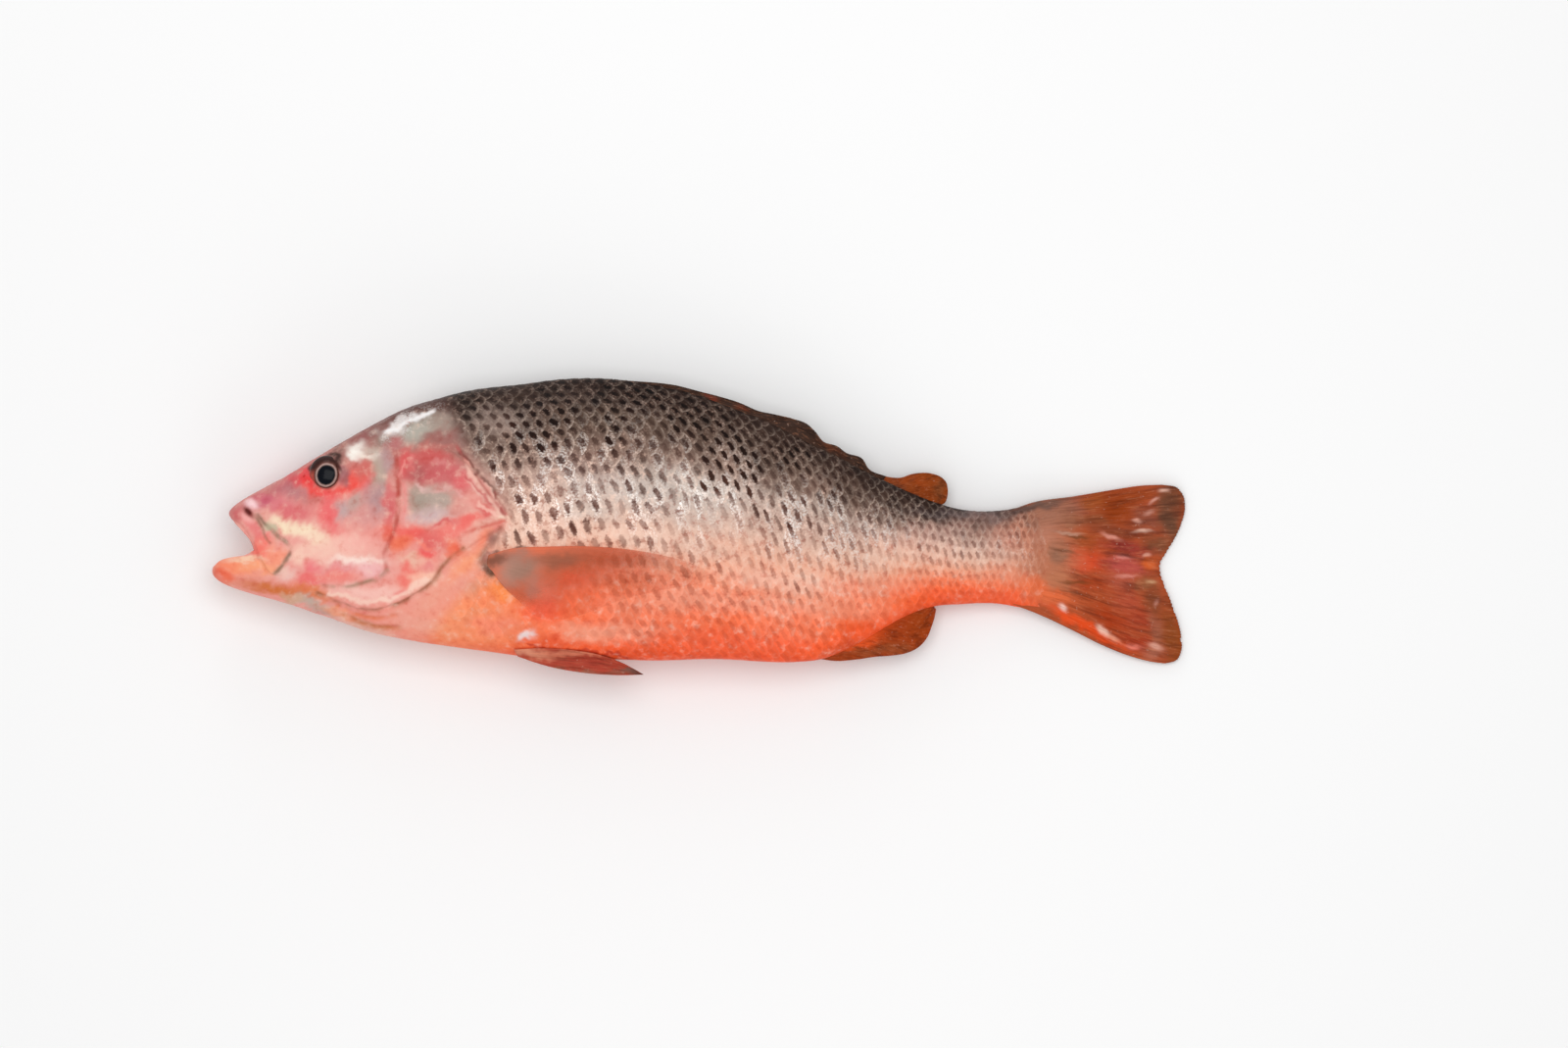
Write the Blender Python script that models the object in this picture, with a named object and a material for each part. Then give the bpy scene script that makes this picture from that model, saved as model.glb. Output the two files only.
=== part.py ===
"""A whole raw snapper lying on its right side, left side up, as one solid with two eyeballs.

The length runs along X from the lower jaw (-X) to the tail (+X), the back is +Y, the belly -Y,
and the floor that the fish lies on is z = 0. Outlines are in millimetres on a 500 mm fish, from the
tip of the lower jaw and from the body's axis, and scale with TOTAL_LENGTH.
"""

import math

import bmesh
import bpy
import numpy as np
from mathutils import Matrix, Vector
from mathutils.bvhtree import BVHTree

# Driving dimensions
TOTAL_LENGTH = 0.500
MM = TOTAL_LENGTH / 500

# The body's outline: (distance from the jaw, height above the axis)
BACK_LINE = [(41.7, 39.2), (55.8, 47.8), (69.9, 56.3), (84.0, 64.4), (98.1, 71.2), (112.2, 76.0),
             (126.3, 79.4), (154.4, 83.7), (182.6, 86.6), (208.0, 86.6), (232.9, 83.0), (263.1, 74.0),
             (303.3, 56.5), (336.0, 39.5), (363.7, 26.5), (388.8, 19.0), (407.9, 19.6), (422.0, 23.0),
             (434.0, 24.0)]
BELLY_LINE = [(41.7, -29.5), (62.9, -36.7), (91.0, -45.6), (119.2, -49.8), (161.5, -55.8), (217.8, -57.3),
              (267.1, -57.3), (300.0, -58.4), (313.4, -57.0), (323.4, -53.3), (338.0, -45.3), (355.1, -35.7),
              (370.2, -30.2), (385.0, -28.8), (405.0, -28.8), (415.0, -30.5), (434.0, -35.5)]
# Height of the widest line of the flank, and the half width there
WIDEST_LINE = [(41.7, 5.0), (60.0, 12.0), (100.0, 9.0), (150.0, 6.0), (220.0, 4.0), (300.0, -3.0),
               (360.0, -6.0), (434.0, -5.0)]
HALF_WIDTH = [(41.7, 17.0), (60.0, 20.8), (84.0, 25.2), (110.0, 28.5), (140.0, 30.2), (180.0, 30.5),
              (220.0, 29.5), (260.0, 26.5), (300.0, 21.0), (336.0, 15.5), (365.0, 11.5), (389.0, 8.8),
              (408.0, 6.4), (425.0, 3.2), (434.0, 1.5)]
# How square the section is above and below the widest line: 2 is an ellipse
SQUARENESS_ABOVE = [(41.7, 2.6), (62.0, 3.5), (90.0, 2.7), (140.0, 2.0), (434.0, 1.9)]
SQUARENESS_BELOW = [(41.7, 2.0), (100.0, 1.9), (434.0, 2.1)]
# Height of the middle plane over the floor: the tail droops until its fin lies on the floor
SPINE_HEIGHT = [(-1.0, 26.5), (60.0, 27.8), (120.0, 28.2), (240.0, 28.2), (300.0, 26.5), (340.0, 21.5),
                (380.0, 14.5), (410.0, 9.6), (434.0, 6.6), (470.0, 3.6), (501.0, 1.9)]

# The rim of the open mouth: (share of the way from the middle to the corner, x, y), then corner to middle
UPPER_LIP = [(0.0, 10.1, 15.6), (0.25, 12.6, 12.1), (0.5, 16.6, 7.8), (0.75, 20.0, 3.2), (1.0, 21.6, -1.0)]
LOWER_LIP = [(0.0, 21.6, -1.0), (0.25, 17.0, -3.6), (0.5, 10.4, -4.6), (0.75, 4.6, -6.2), (1.0, 0.4, -9.6)]
MOUTH_HALF_WIDTH = 12.0
MOUTH_BLUNTNESS = 0.6
FIRST_STATION = BACK_LINE[0][0]
LAST_STATION = BACK_LINE[-1][0]
THROAT = (42.0, -4.0, 0.0)
# Directions in which the skin leaves the rim: at the snout, the corner and the chin
SNOUT_PULL, CORNER_PULL, CHIN_PULL = (-25.0, 14.0, 0.0), (3.0, 0.0, 10.0), (-14.0, -30.0, 0.0)
ROOF_PULL, CHEEK_PULL, FLOOR_PULL = (8.0, -3.0, 0.0), (7.0, 0.0, -4.0), (7.0, 2.0, 0.0)
THROAT_PULL = (4.0, 10.0, 8.0)

# Head plates, as outlines round a centre: (x, y)
GILL_COVER = [(97.0, 49.0), (112.0, 52.0), (123.0, 49.5), (131.0, 43.0), (140.8, 30.2), (149.0, 19.5),
              (151.4, 14.0), (146.4, 9.6), (136.3, 3.5), (127.3, -3.3), (118.2, -10.5), (112.2, -17.6),
              (104.1, -23.4), (94.6, -28.2), (82.0, -31.2), (69.5, -28.8), (64.4, -23.0), (72.0, 0.0),
              (84.5, 30.0)]
GILL_COVER_CENTRE = (105.0, 10.0)
CHEEK = [(94.0, 47.5), (95.6, 35.0), (95.6, 21.0), (94.0, 11.5), (90.5, 2.5), (88.6, -5.0), (89.6, -11.0),
         (86.0, -15.1), (79.0, -17.6), (70.0, -19.6), (59.5, -20.0), (52.0, -12.0), (51.0, 5.0), (60.0, 22.0),
         (72.0, 40.0), (84.5, 49.0)]
CHEEK_CENTRE = (72.0, 8.0)
UPPER_JAW_BONE = [(19.6, 20.6), (25.7, 14.1), (33.2, 6.5), (39.7, 1.5), (42.3, -3.0), (39.2, -8.6),
                  (34.7, -13.6), (31.0, -13.0), (27.0, -8.0), (24.0, -2.0), (21.5, 4.0), (18.5, 10.0),
                  (16.5, 16.0)]
UPPER_JAW_BONE_CENTRE = (29.0, 0.0)
PLATE_SINK = 3.0
PLATE_RINGS, PLATE_SPOKES = 4, 34

# The pectoral fin lies on the flank behind the gill cover
PECTORAL = [(142.4, -3.5), (153.0, -0.4), (172.5, 0.8), (192.6, 1.0), (212.8, -0.5), (232.9, -4.0),
            (248.0, -8.5), (257.5, -14.0), (250.0, -16.5), (233.0, -17.0), (217.8, -19.0), (202.7, -22.5),
            (190.0, -26.2), (175.0, -28.2), (162.5, -26.2), (152.4, -20.1), (144.9, -12.6)]
PECTORAL_CENTRE = (195.0, -12.0)
# Every plate: name, outline, centre, rise at the rear edge, rise at the front edge
PLATES = [("gill_cover", GILL_COVER, GILL_COVER_CENTRE, 1.3, -0.8),
          ("cheek", CHEEK, CHEEK_CENTRE, 2.1, -0.8),
          ("jaw_bone", UPPER_JAW_BONE, UPPER_JAW_BONE_CENTRE, 0.9, 0.2),
          ("pectoral", PECTORAL, PECTORAL_CENTRE, 1.5, 0.5)]

# The eyeball and its socket
EYE_CENTRE = (59.4, 38.7)
EYE_RADIUS, EYE_HALF_DEPTH, EYE_SINK = 9.0, 5.4, 2.7
EYE_LEAN = math.radians(14)
SOCKET_GAP = 0.4
EYE_SEGMENTS, EYE_RINGS = 24, 12

# Fin outlines. The tail fin is a patch between its base, its two leading edges and its rear margin.
TAIL_BASE = [(404.0, 17.0), (416.0, 6.0), (419.0, -5.0), (416.0, -16.0), (404.0, -26.5)]
TAIL_TOP = [(404.0, 17.0), (422.0, 23.6), (443.0, 26.7), (464.0, 30.2), (478.0, 32.2), (488.5, 32.6)]
TAIL_BOTTOM = [(404.0, -26.5), (425.5, -34.5), (442.0, -42.3), (457.0, -49.8), (469.3, -54.8), (482.4, -58.4),
               (490.0, -59.4)]
TAIL_MARGIN = [(488.5, 32.6), (496.3, 31.0), (499.6, 26.2), (500.2, 20.6), (498.5, 13.0), (494.8, 4.8),
               (490.4, -2.5), (487.4, -8.0), (487.4, -12.0), (489.4, -18.5), (493.0, -27.5), (496.2, -36.5),
               (498.3, -46.0), (498.4, -52.5), (496.0, -57.6), (490.0, -59.4)]
TAIL_RAYS, TAIL_ROWS = 15, 7
# The folded spiny dorsal fin and the lobe behind it: base line on the back, free edge above it
SPINY_BASE = [(205.0, 82.0), (245.0, 76.0), (280.0, 63.0), (312.0, 47.5), (342.0, 31.5)]
SPINY_EDGE = [(206.0, 86.0), (222.0, 85.4), (237.9, 83.6), (250.5, 80.4), (260.6, 77.8), (270.6, 74.7),
              (280.7, 70.4), (288.2, 68.8), (298.3, 66.4), (305.0, 64.0), (309.5, 60.0), (314.0, 54.6),
              (320.9, 52.4), (325.5, 49.0), (333.5, 46.2), (337.5, 40.4), (346.0, 36.9)]
LOBE_BASE = [(334.0, 36.5), (343.0, 31.0), (353.0, 26.0), (362.0, 22.5), (369.0, 19.5)]
LOBE_EDGE = [(341.0, 38.2), (348.6, 36.4), (354.0, 36.3), (358.5, 37.9), (363.7, 38.7), (369.7, 38.3),
             (374.4, 36.5), (377.0, 33.8), (377.8, 30.2), (377.6, 26.5), (376.4, 23.4), (372.5, 21.4)]
ANAL_BASE = [(309.0, -54.5), (323.4, -49.5), (338.0, -41.5), (355.1, -32.0), (368.5, -27.0)]
ANAL_EDGE = [(311.0, -58.6), (320.9, -58.0), (331.0, -57.2), (341.0, -55.8), (349.6, -55.2), (356.1, -54.1),
             (361.2, -52.0), (364.9, -49.0), (367.7, -45.0), (369.4, -40.6), (370.9, -36.0), (371.8, -31.5)]
# Fins of the middle plane: name, base, free edge, columns, rows, half thickness of the base, droop, rays
MEDIAN_FINS = [("spiny_dorsal", SPINY_BASE, SPINY_EDGE, 38, 4, 2.6, 0.0, 10),
               ("dorsal_lobe", LOBE_BASE, LOBE_EDGE, 17, 5, 1.7, 3.0, 6),
               ("anal", ANAL_BASE, ANAL_EDGE, 19, 5, 1.9, 3.0, 6)]
# A pelvic fin is folded back along the belly, half of it below the belly line
PELVIC_TOP = [(155.0, -52.0), (170.0, -51.2), (185.0, -52.2), (200.0, -55.0), (209.0, -58.2), (215.8, -61.6),
              (221.0, -64.6)]
PELVIC_BOTTOM = [(157.0, -55.6), (166.5, -58.9), (175.5, -61.4), (184.6, -63.1), (193.7, -64.3),
                 (209.0, -65.2), (221.4, -64.9)]
PELVIC_STANDOFF = 4.0
PELVIC_COLUMNS, PELVIC_ROWS, PELVIC_RAYS = 16, 7, 3

COLUMNS = 32
THROAT_RINGS, FRONT_RINGS, TRUNK_RINGS = 6, 9, 42
FLOOR_GAP = 0.25


def hermite(start, start_pull, end, end_pull, share):
    """Cubic path from start to end, leaving along one pull and arriving along the other."""
    return ((2 * share**3 - 3 * share**2 + 1) * start + (share**3 - 2 * share**2 + share) * start_pull
            + (3 * share**2 - 2 * share**3) * end + (share**3 - share**2) * end_pull)


def curve(table, at):
    """Smooth curve through a table of (key, value...), in cubic pieces with the neighbours' slopes."""
    table = np.asarray(table, float)
    keys, values = table[:, 0], table[:, 1:]
    slopes = np.gradient(values, keys, axis=0)
    at = np.asarray(at, float)
    i = np.clip(np.searchsorted(keys, at, side="right") - 1, 0, len(keys) - 2)
    span = keys[i + 1] - keys[i]
    share = np.clip((at - keys[i]) / span, 0, 1)[..., None]
    span = span[..., None]
    found = hermite(values[i], span * slopes[i], values[i + 1], span * slopes[i + 1], share)
    return found[..., 0] if found.shape[-1] == 1 else found


def along(points, share):
    """Points at shares 0 to 1 of the length of a smooth line through the given points."""
    points = np.asarray(points, float)
    steps = np.linalg.norm(np.diff(points, axis=0), axis=1)
    keys = np.concatenate([[0.0], np.cumsum(steps)]) / steps.sum()
    return curve(np.column_stack([keys, points]), share)


def spine(x):
    """Height of the middle plane over the floor."""
    return curve(SPINE_HEIGHT, np.clip(x, SPINE_HEIGHT[0][0], SPINE_HEIGHT[-1][0]))


def trunk_ring(x, angle):
    """Section of the body at x as (x, y, offset from the middle plane); angle 0 is the back."""
    x = np.broadcast_to(x, np.broadcast(x, angle).shape)
    cosine, sine = np.cos(angle), np.sin(angle)
    above = cosine >= 0
    power = 2 / np.where(above, curve(SQUARENESS_ABOVE, x), curve(SQUARENESS_BELOW, x))
    widest = curve(WIDEST_LINE, x)
    reach = np.where(above, curve(BACK_LINE, x) - widest, widest - curve(BELLY_LINE, x))
    y = widest + reach * np.sign(cosine) * np.abs(cosine) ** power
    z = curve(HALF_WIDTH, x) * np.sign(sine) * np.abs(sine) ** power
    return np.stack([x, y, z], axis=-1)


def skin_offset(x, y):
    """Distance from the middle plane to the flank at (x, y): 0 outside the outline."""
    x = np.clip(x, FIRST_STATION, LAST_STATION)
    widest = curve(WIDEST_LINE, x)
    above = y >= widest
    reach = np.where(above, curve(BACK_LINE, x) - widest, widest - curve(BELLY_LINE, x))
    squareness = np.where(above, curve(SQUARENESS_ABOVE, x), curve(SQUARENESS_BELOW, x))
    inside = np.clip(1 - (np.abs(y - widest) / reach) ** squareness, 0, 1)
    return curve(HALF_WIDTH, x) * inside ** (1 / squareness)


def mouth_rim(angle):
    """The rim of the mouth, from the upper lip (0) by the corner (90 degrees) to the lower lip (180)."""
    turn = np.abs((angle + np.pi) % (2 * np.pi) - np.pi) / (np.pi / 2)
    upper = curve(UPPER_LIP, np.clip(turn, 0, 1))
    lower = curve(LOWER_LIP, np.clip(turn - 1, 0, 1))
    flat = np.where((turn <= 1)[..., None], upper, lower)
    sine = np.sin(angle)
    z = MOUTH_HALF_WIDTH * np.sign(sine) * np.abs(sine) ** MOUTH_BLUNTNESS
    return np.concatenate([flat, z[..., None]], axis=-1)


def rim_pull(angle, top, corner, bottom):
    """A direction that turns from top (0) by corner (90 degrees) to bottom (180)."""
    cosine, sine = np.cos(angle)[..., None], np.sin(angle)[..., None]
    same = np.ones_like(sine)
    side = np.asarray(corner) * np.concatenate([same, same, np.sign(sine)], axis=-1)
    end = np.where(cosine >= 0, np.asarray(top), np.asarray(bottom))
    return cosine**2 * end + sine**2 * side


def body_rings():
    """All rings of the skin, from inside the throat over the rim of the mouth to the root of the tail."""
    angle = np.linspace(0, 2 * np.pi, COLUMNS, endpoint=False)
    rim = mouth_rim(angle)
    inward = rim_pull(angle, ROOF_PULL, CHEEK_PULL, FLOOR_PULL)
    close = np.stack([np.full_like(angle, THROAT_PULL[0]), -THROAT_PULL[1] * np.cos(angle),
                      -THROAT_PULL[2] * np.sin(angle)], axis=-1)
    throat = [hermite(rim, inward, np.asarray(THROAT), close, share)
              for share in np.linspace(1, 0, THROAT_RINGS + 1)[1:-1]]
    first = trunk_ring(FIRST_STATION, angle)
    step = 1.0
    forward = (trunk_ring(FIRST_STATION + step, angle) - first) / step * (FIRST_STATION - rim[:, :1]) * 1.25
    outward = rim_pull(angle, SNOUT_PULL, CORNER_PULL, CHIN_PULL)
    front = [hermite(rim, outward, first, forward, share)
             for share in np.linspace(0, 1, FRONT_RINGS + 1)[:-1] ** 1.2]
    trunk = [trunk_ring(x, angle) for x in np.linspace(FIRST_STATION, LAST_STATION, TRUNK_RINGS)]
    return np.array(throat + front + trunk)


def placed(points):
    """Lays points (x, y, offset from the middle plane) on their right side, in metres."""
    z = np.maximum(points[..., 2] + spine(points[..., 0]), 0)
    return np.stack([points[..., 0], points[..., 1], z], axis=-1) * MM


def skin_material(name, colour, roughness):
    made = bpy.data.materials.new(name)
    made.use_nodes = True
    surface = made.node_tree.nodes["Principled BSDF"]
    surface.inputs["Base Color"].default_value = (*colour, 1.0)
    surface.inputs["Roughness"].default_value = roughness
    surface.inputs["Metallic"].default_value = 0.0
    return made


def add_solid(name, points, faces, material, collection):
    """An object whose faces point out."""
    mesh = bpy.data.meshes.new(name)
    mesh.from_pydata([tuple(p) for p in points], [], faces)
    work = bmesh.new()
    work.from_mesh(mesh)
    bmesh.ops.recalc_face_normals(work, faces=work.faces)
    work.to_mesh(mesh)
    work.free()
    mesh.materials.append(material)
    made = bpy.data.objects.new(name, mesh)
    collection.objects.link(made)
    return made


def grid_faces(rows, columns, first, wrap):
    """Quads of a grid of points numbered by row from first."""
    faces = []
    for r in range(rows - 1):
        for c in range(columns if wrap else columns - 1):
            d = (c + 1) % columns
            a, b = first + r * columns, first + (r + 1) * columns
            faces.append((a + c, a + d, b + d, b + c))
    return faces


def add_body(material, collection):
    """The body with head, open mouth and root of the tail, closed at the throat and at the tail."""
    rings = placed(body_rings())
    rows = len(rings)
    throat = placed(np.array([THROAT]))
    tail = rings[-1].mean(axis=0, keepdims=True)
    points = np.concatenate([rings.reshape(-1, 3), throat, tail])
    faces = grid_faces(rows, COLUMNS, 0, True)
    for c in range(COLUMNS):
        d = (c + 1) % COLUMNS
        faces.append((rows * COLUMNS, d, c))
        faces.append((rows * COLUMNS + 1, (rows - 1) * COLUMNS + c, (rows - 1) * COLUMNS + d))
    return add_solid("fish", points, faces, material, collection)


def draped_height(tree, x, y, side):
    """Height of the skin at (x, y), seen from above (side 1) or from below (side -1)."""
    far = 200 * MM
    hit = tree.ray_cast(Vector((x * MM, y * MM, side * far)), Vector((0, 0, -side)))[0]
    return hit.z if hit else float(spine(x)) * MM


def add_plate(name, outline, centre, rise, front_rise, tree, side, material, collection):
    """A plate that lies on the skin inside an outline: rings round its centre on top, sunk flat underneath.

    The plate stands out by rise at its rear edge and by front_rise at its front edge."""
    edge = along([*outline, outline[0]], np.linspace(0, 1, PLATE_SPOKES, endpoint=False))
    centre = np.asarray(centre)
    low, high = edge[:, 0].min(), edge[:, 0].max()
    top, bottom = [], []
    for share in np.linspace(0, 1, PLATE_RINGS + 1)[1:]:
        for x, y in centre + share * (edge - centre):
            reach = np.clip((x - low) / (0.5 * (high - low)), 0, 1)
            lift = (front_rise + (rise - front_rise) * reach**2 * (3 - 2 * reach)) * MM
            skin = draped_height(tree, x, y, side)
            top.append((x * MM, y * MM, max(skin + side * lift, FLOOR_GAP * MM)))
            bottom.append((x * MM, y * MM, max(skin - side * PLATE_SINK * MM, FLOOR_GAP * MM * 2)))
    x, y = centre
    skin = draped_height(tree, x, y, side)
    points = [*top, *bottom, (x * MM, y * MM, max(skin + side * rise * MM, FLOOR_GAP * MM)),
              (x * MM, y * MM, skin - side * PLATE_SINK * MM)]
    count = len(top)
    faces = grid_faces(PLATE_RINGS, PLATE_SPOKES, 0, True)
    faces += grid_faces(PLATE_RINGS, PLATE_SPOKES, count, True)
    outer = (PLATE_RINGS - 1) * PLATE_SPOKES
    for c in range(PLATE_SPOKES):
        d = (c + 1) % PLATE_SPOKES
        faces += [(2 * count, c, d), (2 * count + 1, count + d, count + c)]
        faces.append((outer + c, outer + d, count + outer + d, count + outer + c))
    return add_solid(name, points, faces, material, collection)


def add_sheet(name, middle, half_thickness, material, collection):
    """A closed thin sheet from a grid of points (rows, columns, 3) and its half thickness at each point."""
    rows, columns = half_thickness.shape
    upper, lower = middle.copy(), middle.copy()
    upper[..., 2] += half_thickness
    lower[..., 2] -= half_thickness
    lower[..., 2] = np.maximum(lower[..., 2], FLOOR_GAP)
    points = np.concatenate([upper.reshape(-1, 3), lower.reshape(-1, 3)]) * MM
    count = rows * columns
    faces = grid_faces(rows, columns, 0, False) + grid_faces(rows, columns, count, False)
    rim = ([c for c in range(columns)] + [r * columns + columns - 1 for r in range(1, rows)]
           + [(rows - 1) * columns + c for c in range(columns - 2, -1, -1)]
           + [r * columns for r in range(rows - 2, 0, -1)])
    for a, b in zip(rim, rim[1:] + rim[:1]):
        faces.append((a, b, b + count, a + count))
    return add_solid(name, points, faces, material, collection)


def ridges(across, rays):
    """Cross section of a fin's rays: 1 on each ray, 0 between two rays."""
    return 0.5 + 0.5 * np.cos(2 * np.pi * across * rays)


def add_tail_fin(material, collection):
    """The forked tail fin: a patch stretched between its base, its leading edges and its rear margin."""
    across = np.linspace(0, 1, 4 * TAIL_RAYS + 1)
    out = np.linspace(0, 1, TAIL_ROWS)
    base, margin = along(TAIL_BASE, across), along(TAIL_MARGIN, across)
    top, bottom = along(TAIL_TOP, out), along(TAIL_BOTTOM, out)
    r, t = out[:, None, None], across[None, :, None]
    front = (1 - t) * base[0] + t * base[-1]
    rear = (1 - t) * margin[0] + t * margin[-1]
    patch = (1 - r) * (base[None] - front) + r * (margin[None] - rear)
    patch = patch + (1 - t) * top[:, None] + t * bottom[:, None]
    r, t = r[..., 0], t[..., 0]
    half = 0.5 + 1.1 * (1 - r) ** 1.3 + 0.25 * ridges(t, TAIL_RAYS) * (1 - 0.7 * r)
    half = half + 0.5 * (np.exp(-(t / 0.05) ** 2) + np.exp(-((1 - t) / 0.05) ** 2)) * (1 - 0.5 * r)
    z = spine(patch[..., 0]) + 0.5 * r * np.sin(7 * t + 2 * r)
    return add_sheet("tail_fin", np.dstack([patch, z]), half, material, collection)


def add_median_fin(name, base, edge, columns, rows, thickness, droop, rays, material, collection):
    """A fin in the middle plane, from its base inside the body to its free edge, which droops."""
    across = np.linspace(0, 1, columns)
    r, t = np.meshgrid(np.linspace(0, 1, rows), across, indexing="ij")
    flat = (1 - r)[..., None] * along(base, across)[None] + r[..., None] * along(edge, across)[None]
    half = thickness * (1 - 0.62 * r) + 0.12 * ridges(t, rays) * r
    z = spine(flat[..., 0]) - droop * r**1.5
    return add_sheet(name, np.dstack([flat, z]), half, material, collection)


def add_pelvic_fin(name, side, material, collection):
    """A pelvic fin, which hugs the belly with its upper half and stands free below it."""
    out = np.linspace(0, 1, PELVIC_COLUMNS)
    r, t = np.meshgrid(out, np.linspace(0, 1, PELVIC_ROWS), indexing="ij")
    top, bottom = along(PELVIC_TOP, out)[:, None], along(PELVIC_BOTTOM, out)[:, None]
    flat = (1 - t)[..., None] * top + t[..., None] * bottom
    off = np.hypot(skin_offset(flat[..., 0], flat[..., 1]), PELVIC_STANDOFF)
    half = 1.0 - 0.55 * r + 0.15 * ridges(t, PELVIC_RAYS)
    z = spine(flat[..., 0]) + side * off
    return add_sheet(name, np.dstack([flat, z]), half, material, collection)


def add_ball(name, centre, lean, gap, material, collection):
    """A flattened ball that leans towards the back: the eyeball, or with a gap the cutter of its socket."""
    radius, half_depth = EYE_RADIUS + gap, EYE_HALF_DEPTH + gap
    work = bmesh.new()
    bmesh.ops.create_uvsphere(work, u_segments=EYE_SEGMENTS, v_segments=EYE_RINGS, radius=1.0)
    mesh = bpy.data.meshes.new(name)
    turn = Matrix.Rotation(lean, 3, "X")
    for v in work.verts:
        v.co = Vector(centre) + turn @ Vector((v.co.x * radius, v.co.y * radius, v.co.z * half_depth)) * MM
    work.to_mesh(mesh)
    work.free()
    mesh.materials.append(material)
    made = bpy.data.objects.new(name, mesh)
    collection.objects.link(made)
    return made


def apply_boolean(target, operation, collection, solver):
    """Joins or cuts target with everything in a collection, then removes the collection's objects."""
    modifier = target.modifiers.new(operation.lower(), "BOOLEAN")
    modifier.operation = operation
    modifier.operand_type = "COLLECTION"
    modifier.collection = collection
    modifier.solver = solver
    graph = bpy.context.evaluated_depsgraph_get()
    joined = bpy.data.meshes.new_from_object(target.evaluated_get(graph))
    target.modifiers.clear()
    target.data = joined
    for used in list(collection.objects):
        bpy.data.objects.remove(used)
    bpy.data.collections.remove(collection)


def new_collection(name):
    made = bpy.data.collections.new(name)
    bpy.context.scene.collection.children.link(made)
    return made


def centre_on_floor(objects):
    """Moves all objects so that the middle of their box is over the origin, standing on z = 0."""
    corners = np.array([o.matrix_world @ v.co for o in objects for v in o.data.vertices])
    low, high = corners.min(axis=0), corners.max(axis=0)
    shift = Vector((-(low[0] + high[0]) / 2, -(low[1] + high[1]) / 2, -low[2]))
    for o in objects:
        for v in o.data.vertices:
            v.co += shift


def build():
    for old in list(bpy.data.objects):
        bpy.data.objects.remove(old)
    scene = bpy.context.scene.collection
    skin = skin_material("fish_skin", (0.62, 0.30, 0.24), 0.32)
    eye = skin_material("fish_eye", (0.02, 0.025, 0.035), 0.08)
    body = add_body(skin, scene)
    tree = BVHTree.FromObject(body, bpy.context.evaluated_depsgraph_get())
    fused, sockets = new_collection("fused"), new_collection("sockets")
    for side, hand in ((1, "left"), (-1, "right")):
        for name, *shape in PLATES:
            add_plate(f"{name}_{hand}", *shape, tree, side, skin, fused)
        add_pelvic_fin(f"pelvic_{hand}", side, skin, fused)
        height = draped_height(tree, *EYE_CENTRE, side) - side * EYE_SINK * MM
        centre = (EYE_CENTRE[0] * MM, EYE_CENTRE[1] * MM, height)
        add_ball(f"eye_{hand}", centre, -side * EYE_LEAN, 0.0, eye, scene)
        add_ball(f"socket_{hand}", centre, -side * EYE_LEAN, SOCKET_GAP, skin, sockets)
    add_tail_fin(skin, fused)
    for shape in MEDIAN_FINS:
        add_median_fin(*shape, skin, fused)
    apply_boolean(body, "UNION", fused, "EXACT")
    apply_boolean(body, "DIFFERENCE", sockets, "EXACT")
    centre_on_floor([body, bpy.data.objects["eye_left"], bpy.data.objects["eye_right"]])
    for o in bpy.data.objects:
        o.data.shade_smooth()
        o.data.set_sharp_from_angle(angle=0.6)


build()
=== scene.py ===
# %% [markdown]
# # A whole raw snapper
# The solids of this fish are packed already: one node for the fish and one for each eyeball. This
# lesson dresses them. The skin becomes one long surface of rings, from inside the mouth to the root of the
# tail, fine enough to carry every scale as real relief, and the fins are thin sheets with rays. Every
# piece is worked out with numpy as a function on a grid, and every finish is a network of shader nodes.

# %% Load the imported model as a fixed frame
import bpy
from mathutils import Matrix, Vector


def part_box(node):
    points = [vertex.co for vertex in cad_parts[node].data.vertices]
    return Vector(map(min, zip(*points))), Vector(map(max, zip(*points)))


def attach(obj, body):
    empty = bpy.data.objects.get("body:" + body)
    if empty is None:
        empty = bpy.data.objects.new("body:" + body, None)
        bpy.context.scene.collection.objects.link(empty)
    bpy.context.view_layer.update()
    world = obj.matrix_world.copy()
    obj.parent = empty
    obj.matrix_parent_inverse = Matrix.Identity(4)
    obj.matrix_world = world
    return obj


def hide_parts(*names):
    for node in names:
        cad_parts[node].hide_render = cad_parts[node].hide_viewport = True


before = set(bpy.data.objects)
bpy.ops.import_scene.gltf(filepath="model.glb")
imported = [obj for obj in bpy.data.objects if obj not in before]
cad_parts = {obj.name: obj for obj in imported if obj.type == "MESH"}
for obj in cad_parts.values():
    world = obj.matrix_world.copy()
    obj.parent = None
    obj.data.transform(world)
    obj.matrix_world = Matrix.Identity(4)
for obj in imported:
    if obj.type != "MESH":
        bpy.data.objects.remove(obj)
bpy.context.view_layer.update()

from types import SimpleNamespace

import bpy
import numpy as np
from mathutils import Vector

MM = 0.001

# %% [markdown]
# ## Places on the fish
# A fish is measured along its length from the tip of the lower jaw and up or down from the axis of its
# body, so all tables here are (distance from the jaw, height over the axis) in millimetres. The eyeball of the
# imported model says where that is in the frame. Smooth curves through a few measured points are enough
# for every outline: a cubic piece between two points takes its slopes from the neighbours.

# %% Curves through tables of measured points
EYE_CENTRE = (59.4, 38.7)
eye_low, eye_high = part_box("eye_left")
shift = (np.array(eye_low) + np.array(eye_high))[:2] / 2 / MM - np.array(EYE_CENTRE)
print("the jaw's tip is at", (shift * MM).round(4), "in the frame")


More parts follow.
